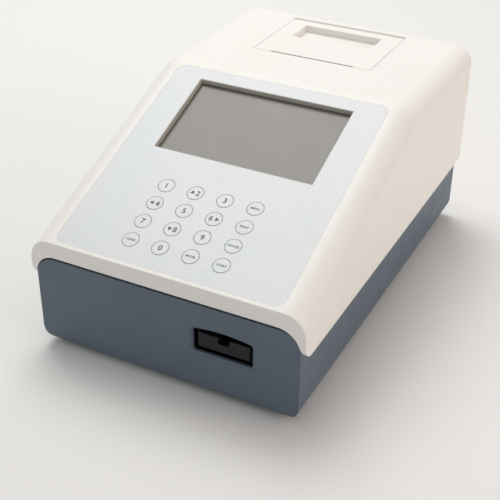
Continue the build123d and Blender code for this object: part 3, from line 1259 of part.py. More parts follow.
# Lid over the printer, hinged at its rear edge, with a finger recess and the paper slot.
LID_HALF = LID_WIDTH / 2 - LID_GAP
with BuildPart() as printer_lid:
    with BuildSketch(Plane.XY.offset(DECK_HEIGHT)):
        with Locations((0, (LID_FRONT + LID_GAP + HINGE_Y) / 2)):
            Rectangle(2 * LID_HALF, HINGE_Y - LID_FRONT - LID_GAP)
    extrude(amount=-LID_THICKNESS)
    with BuildSketch(Plane.YZ):
        with Locations((HINGE_Y, HINGE_Z)):
            Circle(LID_HINGE_RADIUS)
    extrude(amount=LID_HALF, both=True)
    grip_y = LID_FRONT + GRIP_FROM_SEAM + GRIP_LENGTH / 2
    with BuildSketch(Plane.XY.offset(DECK_HEIGHT - LID_THICKNESS)):
        with Locations((0, grip_y)):
            Rectangle(GRIP_WIDTH + 2 * GRIP_WALL, GRIP_LENGTH + 2 * GRIP_WALL)
    extrude(amount=LID_THICKNESS - GRIP_DEPTH - GRIP_WALL)
    with BuildSketch(Plane.XY.offset(DECK_HEIGHT)):
        with Locations((0, grip_y)):
            Rectangle(GRIP_WIDTH, GRIP_LENGTH)
    extrude(amount=-GRIP_DEPTH, mode=Mode.SUBTRACT)
    with BuildSketch(Plane.XY.offset(DECK_HEIGHT)):
        with Locations((0, LID_FRONT + LID_GAP)):
            Rectangle(PAPER_SLOT_WIDTH, 2 * PAPER_SLOT_GAP)
    extrude(amount=-LID_THICKNESS, mode=Mode.SUBTRACT)
    with BuildSketch(Plane.XY.offset(DECK_HEIGHT - LID_THICKNESS)):
        for side in (-1, 1):
            with Locations((side * LATCH_X, LID_FRONT + LID_GAP + LATCH_THICKNESS / 2)):
                Rectangle(LATCH_WIDTH, LATCH_THICKNESS)
    extrude(amount=-LATCH_DROP)
    with BuildSketch(Plane.YZ):
        with Locations((HINGE_Y, HINGE_Z)):
            Circle(HINGE_PIN_RADIUS + RUNNING_FIT)
    extrude(amount=LID_HALF, both=True, mode=Mode.SUBTRACT)
finish(printer_lid, "printer_lid")

with BuildPart() as hinge_pins:
    for side in (-1, 1):
        with BuildSketch(Plane.YZ.offset(side * (LID_HALF - HINGE_PIN_IN_LID))):
            with Locations((HINGE_Y, HINGE_Z)):
                Circle(HINGE_PIN_RADIUS)
        extrude(amount=side * (HINGE_PIN_IN_LID + LID_GAP + HINGE_PIN_IN_EAR))
finish(hinge_pins, "hinge_pins")

# Rear connections.
with BuildPart() as dc_jack:
    with BuildSketch(across(REAR_WALL_INSIDE)):
        with Locations((JACK_X, PORT_HEIGHT)):
            Rectangle(JACK_SIZE, JACK_SIZE)
    extrude(amount=JACK_DEPTH)
    with BuildSketch(across(REAR_WALL_INSIDE)):
        with Locations((JACK_X, PORT_HEIGHT)):
            Circle(JACK_BORE)
            Circle(JACK_PIN, mode=Mode.SUBTRACT)
    extrude(amount=JACK_DEPTH - 2 * JACK_PIN, mode=Mode.SUBTRACT)
finish(dc_jack, "dc_jack")

with BuildPart() as serial_port:
    with BuildSketch(across(REAR_WALL_INSIDE)):
        with Locations((SERIAL_X, PORT_HEIGHT)):
            Rectangle(*SERIAL_FLANGE)
    extrude(amount=SERIAL_DEPTH)
    with BuildSketch(across(REAR_WALL_INSIDE)) as shell_face:
        with Locations((SERIAL_X, PORT_HEIGHT)):
            Trapezoid(*SERIAL_SHELL, SERIAL_ANGLE, rotation=180)
        fillet(shell_face.vertices(), SERIAL_CORNER)
    extrude(amount=-TUB_WALL - SERIAL_PROUD)
    with BuildSketch(across(TUB_REAR + SERIAL_PROUD)):
        for row, count in ((SERIAL_PIN_ROWS / 2, 5), (-SERIAL_PIN_ROWS / 2, 4)):
            with Locations((SERIAL_X, PORT_HEIGHT + row)):
                with GridLocations(SERIAL_PIN_PITCH, SERIAL_PIN_PITCH, count, 1):
                    Circle(SERIAL_PIN_RADIUS)
    extrude(amount=TUB_WALL, mode=Mode.SUBTRACT)
finish(serial_port, "serial_port")

ROCKER_PIVOT_IN = ROCKER_WIDTH / 2 + ROCKER_GAP + ROCKER_PIVOT_END
with BuildPart() as power_switch:
    with BuildSketch(across(TUB_REAR + SWITCH_BEZEL)):
        with Locations((SWITCH_X, PORT_HEIGHT)):
            Rectangle(SWITCH_WIDTH + 2 * SWITCH_BEZEL_MARGIN, SWITCH_HEIGHT + 2 * SWITCH_BEZEL_MARGIN)
    extrude(amount=SWITCH_BEZEL)
    with BuildSketch(across(TUB_REAR)):
        with Locations((SWITCH_X, PORT_HEIGHT)):
            Rectangle(SWITCH_WIDTH, SWITCH_HEIGHT)
    extrude(amount=SWITCH_DEPTH)
    with BuildSketch(across(TUB_REAR + SWITCH_BEZEL)):
        with Locations((SWITCH_X, PORT_HEIGHT)):
            Rectangle(ROCKER_WIDTH + 2 * ROCKER_GAP, 2 * (ROCKER_HALF_HEIGHT + 3 * ROCKER_GAP))
    extrude(amount=SWITCH_BEZEL + SWITCH_DEPTH - SWITCH_FLOOR, mode=Mode.SUBTRACT)
    with BuildSketch(Plane.YZ.offset(SWITCH_X)):
        with Locations((TUB_REAR, PORT_HEIGHT)):
            Circle(ROCKER_PIVOT_RADIUS + RUNNING_FIT)
    extrude(amount=ROCKER_PIVOT_IN + RUNNING_FIT, both=True, mode=Mode.SUBTRACT)
finish(power_switch, "power_switch")

ROCKER_OUTLINE = [
    (ROCKER_REACH, ROCKER_HALF_HEIGHT),
    (ROCKER_REACH - ROCKER_DIP, 0),
    (ROCKER_REACH, -ROCKER_HALF_HEIGHT),
    (-ROCKER_ROOT, -ROCKER_HALF_HEIGHT / 2),
    (-ROCKER_ROOT, ROCKER_HALF_HEIGHT / 2),
]
with BuildPart() as power_rocker:
    with BuildSketch(Plane.YZ.offset(SWITCH_X)):
        with BuildLine():
            Polyline(*placed(ROCKER_OUTLINE, (TUB_REAR, PORT_HEIGHT), ROCKER_TILT), close=True)
        make_face()
    extrude(amount=ROCKER_WIDTH / 2, both=True)
    with BuildSketch(Plane.YZ.offset(SWITCH_X)):
        with Locations((TUB_REAR, PORT_HEIGHT)):
            Circle(ROCKER_PIVOT_RADIUS)
    extrude(amount=ROCKER_PIVOT_IN, both=True)
finish(power_rocker, "power_rocker")

# The same small screw holds the display, the printer well, the read head's board and the main board.
with BuildPart() as small_screws:
    for seat, places in (
        (SLOPE.offset(FRAME_BACK - BOARD_THICKNESS), DISPLAY_SCREWS),
        (Plane.XY.offset(WELL_EAR_TOP - WELL_EAR_THICKNESS), WELL_EAR_PLACES),
    ):
        with BuildSketch(seat):
            with Locations(*places):
                Circle(SCREW_RADIUS)
        extrude(amount=SCREW_LENGTH)
        with BuildSketch(seat):
            with Locations(*places):
                Circle(SCREW_HEAD_RADIUS)
        extrude(amount=-SCREW_HEAD_HEIGHT)
        with BuildSketch(seat.offset(-SCREW_HEAD_HEIGHT)):
            with Locations(*places):
                Rectangle(RECESS_SPAN, RECESS_WIDTH)
                Rectangle(RECESS_WIDTH, RECESS_SPAN)
        extrude(amount=RECESS_DEPTH, mode=Mode.SUBTRACT)
    for seat, places in ((BOARD_TOP, BOARD_SCREWS), (OPTICS_TOP + BOARD_THICKNESS, OPTICS_SCREWS)):
        with BuildSketch(Plane.XY.offset(seat)):
            with Locations(*places):
                Circle(SCREW_RADIUS)
        extrude(amount=-SCREW_LENGTH)
        with BuildSketch(Plane.XY.offset(seat)):
            with Locations(*places):
                Circle(SCREW_HEAD_RADIUS)
        extrude(amount=SCREW_HEAD_HEIGHT)
        with BuildSketch(Plane.XY.offset(seat + SCREW_HEAD_HEIGHT)):
            with Locations(*places):
                Rectangle(RECESS_SPAN, RECESS_WIDTH)
                Rectangle(RECESS_WIDTH, RECESS_SPAN)
        extrude(amount=-RECESS_DEPTH, mode=Mode.SUBTRACT)
finish(small_screws, "small_screws")
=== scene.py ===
import json
from math import pi, radians

import bpy
from mathutils import Euler, Matrix, Vector


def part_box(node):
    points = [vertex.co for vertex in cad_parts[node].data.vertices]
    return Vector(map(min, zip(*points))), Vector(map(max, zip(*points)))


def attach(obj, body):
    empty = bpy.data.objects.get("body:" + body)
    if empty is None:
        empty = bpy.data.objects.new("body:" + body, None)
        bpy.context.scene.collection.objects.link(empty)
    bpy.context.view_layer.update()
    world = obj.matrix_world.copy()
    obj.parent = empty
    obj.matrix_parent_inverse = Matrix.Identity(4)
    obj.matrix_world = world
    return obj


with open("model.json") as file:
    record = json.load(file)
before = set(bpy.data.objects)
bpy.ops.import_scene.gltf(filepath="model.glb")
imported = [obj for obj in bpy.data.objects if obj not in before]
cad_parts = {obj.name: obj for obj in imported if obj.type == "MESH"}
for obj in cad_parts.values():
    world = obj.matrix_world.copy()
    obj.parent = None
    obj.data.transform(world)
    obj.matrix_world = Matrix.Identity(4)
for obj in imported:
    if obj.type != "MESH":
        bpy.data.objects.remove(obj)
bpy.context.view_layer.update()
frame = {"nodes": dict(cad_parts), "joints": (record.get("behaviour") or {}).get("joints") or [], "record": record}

bl_info = {
    "name": "Urine Analyzer Finish",
    "version": (1, 0, 0),
    "blender": (4, 5, 0),
    "location": "View3D > Sidebar > Analyzer",
    "description": "Finishes, key captions and studio for a bench urine analyzer",
    "category": "Object",
}

MM = 0.001

# The sloped panel: its normal is the way a key springs back, and it climbs along UP_SLOPE.
PRESS = next(joint["axis"] for joint in frame["joints"] if joint["name"] == "key_1_press")
NORMAL = -Vector(PRESS).normalized()
RIGHT = Vector((1, 0, 0))
UP_SLOPE = NORMAL.cross(RIGHT)

# Ten keys carry a digit. Four of them also carry an arrow: how many degrees it is turned, and its side of
# the digit, left or right.
DIGITS = "0123456789"
ARROWS = {"2": (0, -1), "4": (90, -1), "6": (-90, 1), "8": (180, -1)}
WORDS = ["menu", "print", "cancel", "clear", "enter", "start"]

# Lamps: where each stands, its side in metres and its colour.
LAMPS = {
    "key_lamp": ((-0.5, 0.5, 1.55), 1.1, (1.0, 0.99, 0.97)),
    "side_lamp": ((1.5, -0.1, 0.6), 0.9, (1.0, 0.78, 0.66)),
}
LAMP_TARGET = Vector((0, 0, 0.07))

# Places of the two colours among a Mix node's inputs.
FIRST, SECOND = 6, 7

# Height of a capital of the built-in face, as a share of the text size.
CAPITAL_SHARE = 0.729

RING_SIDES = 96
ARROW_SIDES = 3


def linear(code):
    """Linear colour of an sRGB hex code."""
    channels = [int(code[i:i + 2], 16) / 255 for i in (1, 3, 5)]
    return tuple(c / 12.92 if c <= 0.04045 else ((c + 0.055) / 1.055) ** 2.4 for c in channels)


def add_node(tree, kind, inputs, **settings):
    """Add one node. An input is a value, a socket, or a node whose first live output it takes."""
    made = tree.nodes.new(kind)
    for name, value in settings.items():
        setattr(made, name, value)
    for name, value in inputs.items():
        socket = made.inputs[name]
        if isinstance(value, bpy.types.Node):
            value = next(output for output in value.outputs if output.enabled)
        if isinstance(value, bpy.types.NodeSocket):
            tree.links.new(value, socket)
        elif socket.type == "RGBA":
            socket.default_value = (*value, 1.0)
        else:
            socket.default_value = value
    return made


def start_material(name):
    """A new material, its node tree, and the piece's own coordinates in millimetres."""
    material = bpy.data.materials.new(name)
    material.use_nodes = True
    tree = material.node_tree
    tree.nodes.clear()
    coordinates = add_node(tree, "ShaderNodeTexCoord", {})
    place = add_node(
        tree, "ShaderNodeVectorMath", {0: coordinates.outputs["Object"], "Scale": 1 / MM}, operation="SCALE"
    )
    return material, tree, place


def mottled(name, colours, blot_mm, gloss, sheen_mm, grain_mm, depth_mm, surface):
    """A material whose tone, gloss and grain each wander at their own size."""
    material, tree, place = start_material(name)
    blots = add_node(tree, "ShaderNodeTexNoise", {"Vector": place, "Scale": 1 / blot_mm, "Detail": 3.0})
    tone = add_node(tree, "ShaderNodeMapRange", {"Value": blots, "From Min": 0.3, "From Max": 0.7})
    colour = add_node(
        tree, "ShaderNodeMix", {0: tone, FIRST: colours[0], SECOND: colours[1]}, data_type="RGBA"
    )
    patches = add_node(tree, "ShaderNodeTexNoise", {"Vector": place, "Scale": 1 / sheen_mm, "Detail": 4.0})
    roughness = add_node(
        tree, "ShaderNodeMapRange",
        {"Value": patches, "From Min": 0.3, "From Max": 0.7, "To Min": gloss[0], "To Max": gloss[1]},
    )
    grain = add_node(tree, "ShaderNodeTexNoise", {"Vector": place, "Scale": 1 / grain_mm, "Detail": 1.0})
    relief = add_node(tree, "ShaderNodeBump", {"Height": grain, "Strength": 1.0, "Distance": depth_mm * MM})
    shader = add_node(
        tree, "ShaderNodeBsdfPrincipled",
        {"Base Color": colour, "Roughness": roughness, "Normal": relief, **surface},
    )
    add_node(tree, "ShaderNodeOutputMaterial", {"Surface": shader})
    return material


class CasingColours(bpy.types.PropertyGroup):
    """Colours of the mouldings that form the outside."""

    cover: bpy.props.FloatVectorProperty(
        name="Cover", description="Warm white of the cover and the lid",
        default=linear("#F4F2EE"), subtype="COLOR", size=3, min=0, max=1,
    )
    cover_shade: bpy.props.FloatVectorProperty(
        name="Cover drift", description="The tone that the cover drifts to",
        default=linear("#F1EEE9"), subtype="COLOR", size=3, min=0, max=1,
    )
    tub: bpy.props.FloatVectorProperty(
        name="Base", description="Slate of the base moulding",
        default=linear("#576574"), subtype="COLOR", size=3, min=0, max=1,
    )
    tub_shade: bpy.props.FloatVectorProperty(
        name="Base drift", description="The tone that the base drifts to",
        default=linear("#54606E"), subtype="COLOR", size=3, min=0, max=1,
    )
    tray: bpy.props.FloatVectorProperty(
        name="Tray", description="Charcoal of the strip tray",
        default=linear("#181A20"), subtype="COLOR", size=3, min=0, max=1,
    )
    tray_shade: bpy.props.FloatVectorProperty(
        name="Tray drift", description="The tone that the tray drifts to",
        default=linear("#15171C"), subtype="COLOR", size=3, min=0, max=1,
    )


class PanelSettings(bpy.types.PropertyGroup):
    """The keypad film, its print and the display."""

    film: bpy.props.FloatVectorProperty(
        name="Film", description="Cool grey of the keypad film",
        default=linear("#DADFE0"), subtype="COLOR", size=3, min=0, max=1,
    )
    film_shade: bpy.props.FloatVectorProperty(
        name="Film drift", description="The tone that the film drifts to",
        default=linear("#D6DCDE"), subtype="COLOR", size=3, min=0, max=1,
    )
    print_ink: bpy.props.FloatVectorProperty(
        name="Caption ink", description="Grey of the printed captions",
        default=linear("#404448"), subtype="COLOR", size=3, min=0, max=1,
    )
    ring_ink: bpy.props.FloatVectorProperty(
        name="Ring ink", description="Pale grey of the ring printed round each key",
        default=linear("#C2C7C9"), subtype="COLOR", size=3, min=0, max=1,
    )
    glass: bpy.props.FloatVectorProperty(
        name="Display", description="Taupe grey of the resting display",
        default=linear("#67635C"), subtype="COLOR", size=3, min=0, max=1,
    )
    glass_shade: bpy.props.FloatVectorProperty(
        name="Display drift", description="The tone that the display drifts to",
        default=linear("#625E57"), subtype="COLOR", size=3, min=0, max=1,
    )
    digit_height: bpy.props.FloatProperty(
        name="Digit height", description="Height of a digit on a key",
        default=4.0 * MM, unit="LENGTH", min=0.001, max=0.01,
    )
    digit_weight: bpy.props.FloatProperty(
        name="Digit weight", description="How far a digit's outline is moved outwards",
        default=0.1 * MM, unit="LENGTH", min=0, max=0.001,
    )
    word_height: bpy.props.FloatProperty(
        name="Word height", description="Height of the letters of a word key",
        default=1.65 * MM, unit="LENGTH", min=0.0005, max=0.01,
    )
    word_weight: bpy.props.FloatProperty(
        name="Word weight", description="How far a letter's outline is moved outwards",
        default=0.05 * MM, unit="LENGTH", min=0, max=0.001,
    )
    arrow_radius: bpy.props.FloatProperty(
        name="Arrow size", description="From the middle of an arrow to its point",
        default=1.8 * MM, unit="LENGTH", min=0.0005, max=0.005,
    )
    arrow_gap: bpy.props.FloatProperty(
        name="Arrow spacing", description="From the middle of a digit to the middle of its arrow",
        default=3.8 * MM, unit="LENGTH", min=0.001, max=0.01,
    )
    ring_width: bpy.props.FloatProperty(
        name="Ring width", description="Width of the ring printed round each key",
        default=0.3 * MM, unit="LENGTH", min=0.0001, max=0.002,
    )
    ring_inset: bpy.props.FloatProperty(
        name="Ring inset", description="From the key's edge in to the ring",
        default=0.12 * MM, unit="LENGTH", min=0, max=0.002,
    )
    ink_height: bpy.props.FloatProperty(
        name="Ink height", description="How far the print stands proud of the key",
        default=0.03 * MM, unit="LENGTH", min=0.00001, max=0.0005,
    )


class StudioSettings(bpy.types.PropertyGroup):
    """Camera, floor and lamps."""

    camera_place: bpy.props.FloatVectorProperty(
        name="Camera", description="Where the camera stands",
        default=(0.2768, -0.5765, 0.4199), subtype="XYZ", size=3, unit="LENGTH",
    )
    camera_elevation: bpy.props.FloatProperty(
        name="Elevation", description="How far the camera looks down",
        default=radians(32.19), subtype="ANGLE",
    )
    camera_azimuth: bpy.props.FloatProperty(
        name="Azimuth", description="How far the camera stands to the right",
        default=radians(26.78), subtype="ANGLE",
    )
    camera_roll: bpy.props.FloatProperty(
        name="Roll", description="How far the camera is turned about its own view",
        default=radians(0.59), subtype="ANGLE",
    )
    focal_length: bpy.props.FloatProperty(
        name="Focal length", description="Lens in millimetres on a 36 mm sensor",
        default=74.9, min=10, max=300,
    )
    floor_side: bpy.props.FloatProperty(
        name="Floor side", description="Side of the square floor",
        default=12.0, unit="LENGTH", min=1, max=100,
    )
    floor_colour: bpy.props.FloatVectorProperty(
        name="Floor", description="Pale floor",
        default=linear("#F2F2F0"), subtype="COLOR", size=3, min=0, max=1,
    )
    room_level: bpy.props.FloatProperty(
        name="Room light", description="Level of the light from all round",
        default=0.405, min=0, max=2,
    )
    key_lamp: bpy.props.FloatProperty(
        name="Key lamp", description="Power of the large lamp behind and above",
        default=16.6, unit="POWER", min=0, max=100,
    )
    side_lamp: bpy.props.FloatProperty(
        name="Side lamp", description="Power of the warm lamp on the right",
        default=6.1, unit="POWER", min=0, max=100,
    )


def cover_abs(casing):
    """ABS, moulded in a finely textured tool: a soft satin skin over a tone that drifts along the flow."""
    # The tool's grain is 0.1 mm across; it is drawn at 0.9 mm so that it shows.
    colours = (casing.cover, casing.cover_shade)
    return mottled(
        "cover_abs", colours, blot_mm=70.0, gloss=(0.42, 0.5), sheen_mm=9.0,
        grain_mm=0.9, depth_mm=0.006, surface={"IOR": 1.53},
    )


def tub_abs(casing):
    """ABS, moulded with a coarser spark texture: the base looks duller than the cover."""
    colours = (casing.tub, casing.tub_shade)
    return mottled(
        "tub_abs", colours, blot_mm=70.0, gloss=(0.46, 0.56), sheen_mm=9.0,
        grain_mm=0.8, depth_mm=0.012, surface={"IOR": 1.53},
    )


def tray_abs(casing):
    """Charcoal ABS, satin, with the tool's polish faint on it."""
    colours = (casing.tray, casing.tray_shade)
    return mottled(
        "tray_abs", colours, blot_mm=50.0, gloss=(0.38, 0.5), sheen_mm=9.0,
        grain_mm=0.7, depth_mm=0.008, surface={"IOR": 1.36},
    )


def component_nylon():
    """Glass-filled nylon: near black, slightly mottled where the fibres come to the skin."""
    colours = (linear("#232325"), linear("#2B2B2C"))
    return mottled(
        "component_nylon", colours, blot_mm=8.0, gloss=(0.45, 0.6), sheen_mm=4.0,
        grain_mm=0.6, depth_mm=0.01, surface={"IOR": 1.53},
    )


def switch_abs():
    """Polished black ABS of the rocker and its housing: sharp highlights."""
    colours = (linear("#131314"), linear("#18181A"))
    return mottled(
        "switch_abs", colours, blot_mm=20.0, gloss=(0.16, 0.24), sheen_mm=9.0,
        grain_mm=3.0, depth_mm=0.002, surface={"IOR": 1.53},
    )


def gear_acetal():
    """Natural acetal, machined: milky body and a waxy sheen."""
    milky = {
        "IOR": 1.48, "Subsurface Weight": 0.2, "Subsurface Radius": (1.0, 0.9, 0.75), "Subsurface Scale": MM,
    }
    colours = (linear("#EEEBE0"), linear("#E6E2D5"))
    return mottled(
        "gear_acetal", colours, blot_mm=6.0, gloss=(0.3, 0.4), sheen_mm=2.0,
        grain_mm=0.8, depth_mm=0.006, surface=milky,
    )


def keypad_film(panel):
    """Polyester film printed on its back, with a velvet hard coat: even colour under a fine matt skin."""
    colours = (panel.film, panel.film_shade)
    return mottled(
        "keypad_film", colours, blot_mm=45.0, gloss=(0.36, 0.42), sheen_mm=5.0,
        grain_mm=0.7, depth_mm=0.004, surface={"IOR": 1.57},
    )


def caption_ink(panel):
    """Screen-printed ink: matt, with thin and thick places."""
    thin = [1.12 * channel for channel in panel.print_ink]
    return mottled(
        "caption_ink", (panel.print_ink, thin), blot_mm=0.8, gloss=(0.5, 0.6), sheen_mm=1.5,
        grain_mm=0.4, depth_mm=0.002, surface={"IOR": 1.5},
    )


def ring_ink(panel):
    """The same ink let down with white: a pale line, broken where the mesh left it thin."""
    thin = [1.1 * channel for channel in panel.ring_ink]
    return mottled(
        "ring_ink", (panel.ring_ink, thin), blot_mm=0.8, gloss=(0.5, 0.6), sheen_mm=1.5,
        grain_mm=0.4, depth_mm=0.002, surface={"IOR": 1.5},
    )


def dome_steel():
    """Sprung stainless, tumbled bright: small scuffs over a sharp shine."""
    colours = (linear("#D6D6D3"), linear("#C6C6C4"))
    return mottled(
        "dome_steel", colours, blot_mm=0.6, gloss=(0.16, 0.28), sheen_mm=0.6,
        grain_mm=0.6, depth_mm=0.001, surface={"Metallic": 1.0},
    )


def reference_ptfe():
    """Sintered fluoropolymer of the white reference: dead matt, faintly porous."""
    colours = (linear("#FAFAF8"), linear("#F0F0EC"))
    return mottled(
        "reference_ptfe", colours, blot_mm=0.35, gloss=(0.8, 0.95), sheen_mm=0.35,
        grain_mm=0.35, depth_mm=0.02, surface={"IOR": 1.38},
    )


def lens_glass():
    """Polished crown glass of the reading lens: clear, with a cool bloom."""
    clear = {"IOR": 1.52, "Transmission Weight": 0.9}
    colours = (linear("#E4F0F4"), linear("#DCEAEF"))
    return mottled(
        "lens_glass", colours, blot_mm=2.0, gloss=(0.02, 0.05), sheen_mm=1.5,
        grain_mm=1.5, depth_mm=0.0005, surface=clear,
    )


def lamp_epoxy():
    """Clear cast epoxy of the lamps: slightly hazed."""
    clear = {"IOR": 1.54, "Transmission Weight": 0.9}
    colours = (linear("#F3F5EF"), linear("#EAEDE5"))
    return mottled(
        "lamp_epoxy", colours, blot_mm=2.0, gloss=(0.02, 0.16), sheen_mm=1.5,
        grain_mm=1.5, depth_mm=0.001, surface=clear,
    )


def foot_rubber():
    """Moulded rubber of the feet: dull black with a bloom of grey dust in its grain."""
    colours = (linear("#1B1B1C"), linear("#29292A"))
    return mottled(
        "foot_rubber", colours, blot_mm=3.0, gloss=(0.65, 0.85), sheen_mm=1.2,
        grain_mm=0.6, depth_mm=0.03, surface={"IOR": 1.52},
    )


def platen_rubber():
    """Ground silicone rubber of the platen: an even, dusty grey from the grinding."""
    colours = (linear("#2A2A2B"), linear("#3A3A3A"))
    return mottled(
        "platen_rubber", colours, blot_mm=3.0, gloss=(0.65, 0.85), sheen_mm=1.2,
        grain_mm=0.35, depth_mm=0.03, surface={"IOR": 1.52},
    )


def head_ceramic():
    """Glazed alumina strip of the thermal head: ivory under a glassy skin."""
    colours = (linear("#E4E0D2"), linear("#D8D3C2"))
    return mottled(
        "head_ceramic", colours, blot_mm=0.6, gloss=(0.1, 0.18), sheen_mm=4.0,
        grain_mm=3.0, depth_mm=0.001, surface={"IOR": 1.6},
    )


def gasket_foam():
    """Closed-cell foam round the display window, its cells cut open at the edge. Its warm grey is painted shade:
    it darkens the window's walls as their shadow would.
    """
    # Painted shade: this grey stands in for the shadowed band along the display window's walls.
    colours = (linear("#B3AFA8"), linear("#C6C2BA"))
    return mottled(
        "gasket_foam", colours, blot_mm=0.5, gloss=(0.8, 0.92), sheen_mm=2.0,
        grain_mm=0.5, depth_mm=0.03, surface={"IOR": 1.45},
    )


def circuit_film():
    """Laminated polyester with printed silver conductors: pale lines side by side under a gloss."""
    track_pitch_mm = 5.0
    track_share = 0.35
    haze_mm = 30.0
    smear_mm = 4.0
    material, tree, place = start_material("circuit_film")
    axes = add_node(tree, "ShaderNodeSeparateXYZ", {"Vector": place})
    wave = add_node(
        tree, "ShaderNodeMath", {0: axes.outputs["X"], 1: 0.5 * track_pitch_mm}, operation="PINGPONG"
    )
    track = add_node(
        tree, "ShaderNodeMath", {0: wave, 1: 0.5 * track_share * track_pitch_mm}, operation="LESS_THAN"
    )
    haze = add_node(tree, "ShaderNodeTexNoise", {"Vector": place, "Scale": 1 / haze_mm})
    film = add_node(
        tree, "ShaderNodeMix",
        {0: haze, FIRST: linear("#DCDDD9"), SECOND: linear("#CCCDC8")}, data_type="RGBA",
    )
    colour = add_node(
        tree, "ShaderNodeMix",
        {0: track, FIRST: film, SECOND: linear("#B4B6B8")}, data_type="RGBA",
    )
    smears = add_node(tree, "ShaderNodeTexNoise", {"Vector": place, "Scale": 1 / smear_mm})
    roughness = add_node(tree, "ShaderNodeMapRange", {"Value": smears, "To Min": 0.2, "To Max": 0.4})
    shader = add_node(
        tree, "ShaderNodeBsdfPrincipled", {"Base Color": colour, "Roughness": roughness, "IOR": 1.57}
    )
    add_node(tree, "ShaderNodeOutputMaterial", {"Surface": shader})
    return material


def display_glass(panel):
    """Cover glass over a resting liquid crystal display: taupe grey, cell rows faint under an even gloss."""
    # The cells are 0.3 mm apart; their rows are drawn 1 mm apart so that they show close up.
    row_pitch_mm = 1.0
    cloud_mm = 60.0
    wipe_mm = 20.0
    material, tree, place = start_material("display_glass")
    axes = add_node(tree, "ShaderNodeSeparateXYZ", {"Vector": place})
    rows = add_node(
        tree, "ShaderNodeMath", {0: axes.outputs["X"], 1: 0.5 * row_pitch_mm}, operation="PINGPONG"
    )
    faint = add_node(
        tree, "ShaderNodeMapRange", {"Value": rows, "From Max": 0.5 * row_pitch_mm, "To Max": 0.5}
    )
    cloud = add_node(tree, "ShaderNodeTexNoise", {"Vector": place, "Scale": 1 / cloud_mm})
    tone = add_node(tree, "ShaderNodeMath", {0: faint, 1: cloud}, operation="ADD")
    colour = add_node(
        tree, "ShaderNodeMix", {0: tone, FIRST: panel.glass, SECOND: panel.glass_shade}, data_type="RGBA"
    )
    wipes = add_node(tree, "ShaderNodeTexNoise", {"Vector": place, "Scale": 1 / wipe_mm})
    roughness = add_node(tree, "ShaderNodeMapRange", {"Value": wipes, "To Min": 0.32, "To Max": 0.42})
    shader = add_node(tree, "ShaderNodeBsdfPrincipled", {
        "Base Color": colour, "Roughness": roughness, "IOR": 1.5, "Coat Weight": 0.2, "Coat Roughness": 0.2,
    })
    add_node(tree, "ShaderNodeOutputMaterial", {"Surface": shader})
    return material


def light_guide():
    """Cast acrylic with a white dot print on its back: milky, and bright at the rim."""
    dot_pitch_mm = 1.4
    haze_mm = 8.0
    material, tree, place = start_material("light_guide")
    dots = add_node(
        tree, "ShaderNodeTexVoronoi", {"Vector": place, "Scale": 1 / dot_pitch_mm, "Randomness": 0.0}
    )
    edge = add_node(tree, "ShaderNodeMapRange", {"Value": dots, "From Min": 0.2, "From Max": 0.45})
    colour = add_node(
        tree, "ShaderNodeMix",
        {0: edge, FIRST: linear("#F4F6F6"), SECOND: linear("#DDE4E4")}, data_type="RGBA",
    )
    haze = add_node(tree, "ShaderNodeTexNoise", {"Vector": place, "Scale": 1 / haze_mm})
    roughness = add_node(tree, "ShaderNodeMapRange", {"Value": haze, "To Min": 0.1, "To Max": 0.22})
    shader = add_node(tree, "ShaderNodeBsdfPrincipled", {
        "Base Color": colour, "Roughness": roughness, "IOR": 1.49, "Subsurface Weight": 0.3,
        "Subsurface Scale": 2 * MM,
    })
    add_node(tree, "ShaderNodeOutputMaterial", {"Surface": shader})
    return material


def plated_steel():
    """Cold-rolled steel, zinc plated: dull silver, with the rolling drawn out into streaks."""
    streak_mm = 0.9
    drawn_out = 0.06
    material, tree, place = start_material("plated_steel")
    rolled = add_node(tree, "ShaderNodeMapping", {"Vector": place, "Scale": (1.0, drawn_out, 1.0)})
    streaks = add_node(tree, "ShaderNodeTexNoise", {"Vector": rolled, "Scale": 1 / streak_mm, "Detail": 3.0})
    colour = add_node(
        tree, "ShaderNodeMix",
        {0: streaks, FIRST: linear("#B4B6B8"), SECOND: linear("#9C9FA2")}, data_type="RGBA",
    )
    roughness = add_node(tree, "ShaderNodeMapRange", {"Value": streaks, "To Min": 0.32, "To Max": 0.52})
    relief = add_node(tree, "ShaderNodeBump", {"Height": streaks, "Strength": 1.0, "Distance": 0.003 * MM})
    shader = add_node(tree, "ShaderNodeBsdfPrincipled", {
        "Base Color": colour, "Metallic": 1.0, "Roughness": roughness, "Normal": relief,
    })
    add_node(tree, "ShaderNodeOutputMaterial", {"Surface": shader})
    return material


